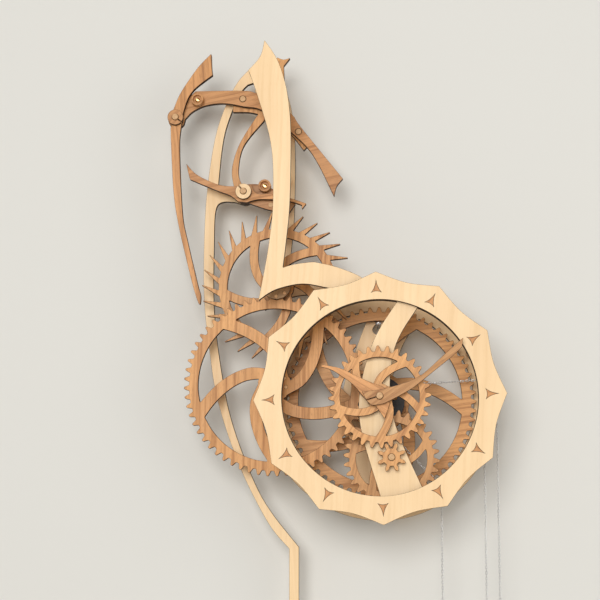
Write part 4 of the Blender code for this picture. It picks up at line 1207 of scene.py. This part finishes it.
class CLOCK_OT_chain(PieceOperator):
    """Lay the link chain over the wheel and pulleys and down to the weights."""

    bl_idname = "clock.chain"
    bl_label = "Chain"

    def execute(self, context):
        feed_x, y = middle_of("weight_chain").xy
        feed, slack = axis_of("feed_pulley"), axis_of("slack_pulley")
        pulley_r = feed_x - feed.x
        over = math.atan2(feed.y, feed.x) + math.acos((DRUM_R - pulley_r) / feed.length)
        under = math.atan2(slack.y, slack.x) - math.acos((DRUM_R + pulley_r) / slack.length)
        route = bend_round(feed, pulley_r, 0.0, over, y)
        route += bend_round((0.0, 0.0), DRUM_R, over, under + 2 * math.pi, y, 24)
        route += bend_round(slack, pulley_r, under + math.pi, 0.0, y)
        drive = links_along("drive_chain_links", route)
        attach(drive, "frame")
        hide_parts("drive_chain")
        ends = {"weight_chain": "weight", "return_chain": "weight", "slack_chain": "counterweight"}
        for node, body in ends.items():
            low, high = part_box(node)
            x = (low.x + high.x) / 2
            top, foot = (x, y, high.z), (x, y, low.z)
            run = links_along(node + "_links", [top, foot])
            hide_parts(node)
            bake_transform(run)
        wheel = axis_of("weight_pulley")
        bottom = bend_round(wheel, feed_x - wheel.x, 0.0, -math.pi, y)
        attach(links_along("weight_pulley_links", bottom), "weight")
        return {"FINISHED"}


class CLOCK_OT_pulleys(PieceOperator):
    """Turn the chain wheel and the pulleys, and the brass posts that carry them."""

    bl_idname = "clock.pulleys"
    bl_label = "Chain Wheel and Pulleys"

    def execute(self, context):
        for node in ("chain_wheel", "feed_pulley", "slack_pulley", "weight_pulley"):
            turned_piece(node, suffix="black")
        for node in ("feed_post", "slack_post", "chain_hook"):
            turned_piece(node, suffix="brass")
        return {"FINISHED"}


class CLOCK_OT_weights(PieceOperator):
    """Turn the drive weight, its hanger and the counterweight."""

    bl_idname = "clock.weights"
    bl_label = "Weights"

    def execute(self, context):
        turned_piece("drive_weight", upright=True, radius=3.0 * MM, suffix="brass")
        turned_piece("counterweight", upright=True, radius=1.5 * MM, suffix="brass")
        mesh = mesh_from("weight_hanger_brass", welded("weight_hanger"))
        hanger = add_object("weight_hanger_brass", mesh)
        bevel = hanger.modifiers.new("edges", "BEVEL")
        bevel.width = 0.25 * MM
        bevel.segments = 2
        bevel.angle_limit = math.radians(50)
        mesh = plain_mesh("weight_hanger_brass", hanger)
        layer = mesh.uv_layers.get("grain") or mesh.uv_layers.new(name="grain")
        for loop in mesh.loops:
            place = mesh.vertices[loop.vertex_index].co
            layer.data[loop.index].uv = (place.x, place.z)
        place_mesh("weight_hanger_brass", mesh, "weight_hanger")
        return {"FINISHED"}


def set_wall(settings):
    """The wall and the floor, which can be seen through from behind."""
    tree, shader = new_material("stage")
    shader.inputs["Base Color"].default_value = (*settings.wall, 1.0)
    shader.inputs["Roughness"].default_value = 0.9
    shader.inputs["Specular IOR Level"].default_value = 0.1
    clear = add_node(tree, "ShaderNodeBsdfTransparent")
    side = add_node(tree, "ShaderNodeNewGeometry")
    values = {0: side.outputs["Backfacing"], 1: shader.outputs[0], 2: clear.outputs[0]}
    mix = add_node(tree, "ShaderNodeMixShader", values)
    tree.links.new(mix.outputs[0], tree.nodes["Material Output"].inputs["Surface"])
    low, high = CAD_BOX
    floor, top = low.z - FLOOR_BELOW, high.z + ROOM_ABOVE
    sides = (-ROOM_HALF, ROOM_HALF, ROOM_HALF, -ROOM_HALF)
    wall = [(x, 0.0, z) for x, z in zip(sides, (floor, floor, top, top))]
    ground = [(x, y, floor) for x, y in zip(sides, sides[-1:] + sides[:-1])]
    for name, corners in (("stage_wall", wall), ("stage_floor", ground)):
        mesh = bpy.data.meshes.new(name)
        mesh.from_pydata(corners, [], [(0, 1, 2, 3)])
        mesh.materials.append(finish("stage"))
        sheet = add_object(name, mesh)
        sheet.visible_shadow = False


def set_lights(settings):
    """Two soft lamps and an even light from everywhere."""
    lamps = (
        ("key_light", (-0.4, -3.1, 0.5), 1.5, settings.key),
        ("fill_light", (1.7, -1.8, 0.2), 1.8, settings.fill),
    )
    for name, place, size, power in lamps:
        lamp = bpy.data.lights.new(name, "AREA")
        lamp.shape = "DISK"
        lamp.size = size
        lamp.energy = power
        stand = add_object(name, lamp)
        stand.location = place
        stand.rotation_euler = (LIT_POINT - Vector(place)).to_track_quat("-Z", "Y").to_euler()
    world = bpy.data.worlds.new("even_light")
    world.use_nodes = True
    sky = world.node_tree.nodes["Background"]
    sky.inputs["Color"].default_value = (1.0, 0.99, 0.97, 1.0)
    sky.inputs["Strength"].default_value = settings.sky
    bpy.context.scene.world = world
    bpy.context.scene.view_settings.view_transform = "Standard"


def set_eye():
    """The camera, in front of the clock and a little below it."""
    eye = bpy.data.cameras.new("eye")
    eye.lens = EYE_LENS
    eye.sensor_width = EYE_SENSOR
    camera = add_object("eye", eye)
    camera.location = EYE
    camera.rotation_euler = (math.pi / 2 + EYE_UP, 0.0, EYE_LEFT)
    bpy.context.scene.camera = camera


class CLOCK_OT_stage(PieceOperator):
    """Set the plain wall and floor, the soft light and the camera."""

    bl_idname = "clock.stage"
    bl_label = "Stage"

    def execute(self, context):
        settings = context.scene.clock_stage
        set_wall(settings)
        set_lights(settings)
        set_eye()
        return {"FINISHED"}


PIECE_OPERATORS = (
    CLOCK_OT_stage,
    CLOCK_OT_materials,
    CLOCK_OT_frames,
    CLOCK_OT_dial,
    CLOCK_OT_wheels,
    CLOCK_OT_arbors,
    CLOCK_OT_hands,
    CLOCK_OT_escapement,
    CLOCK_OT_fastenings,
    CLOCK_OT_bob,
    CLOCK_OT_chain,
    CLOCK_OT_pulleys,
    CLOCK_OT_weights,
)

SETTINGS = {
    "clock_wood": ClockWoodSettings,
    "clock_cut": ClockCutSettings,
    "clock_inlay": ClockInlaySettings,
    "clock_chain": ClockChainSettings,
    "clock_stage": ClockStageSettings,
}


class CLOCK_PT_panel(bpy.types.Panel):
    """Lists the clock's settings and the steps that build it."""

    bl_label = "Gear Clock"
    bl_idname = "CLOCK_PT_panel"
    bl_space_type = "VIEW_3D"
    bl_region_type = "UI"
    bl_category = "Gear Clock"

    def draw(self, context):
        layout = self.layout
        for name, group in SETTINGS.items():
            box = layout.box()
            box.label(text=group.__doc__)
            for key in group.__annotations__:
                box.prop(getattr(context.scene, name), key)
        for operator in PIECE_OPERATORS:
            layout.operator(operator.bl_idname)


def register():
    for group in (*SETTINGS.values(), *PIECE_OPERATORS, CLOCK_PT_panel):
        bpy.utils.register_class(group)
    for name, group in SETTINGS.items():
        setattr(bpy.types.Scene, name, PointerProperty(type=group))


def unregister():
    for name in SETTINGS:
        delattr(bpy.types.Scene, name)
    for group in (CLOCK_PT_panel, *reversed(PIECE_OPERATORS), *reversed(SETTINGS.values())):
        bpy.utils.unregister_class(group)


def main():
    register()
    for operator in PIECE_OPERATORS:
        category, name = operator.bl_idname.split(".")
        getattr(getattr(bpy.ops, category), name)()


if __name__ == "__main__":
    main()
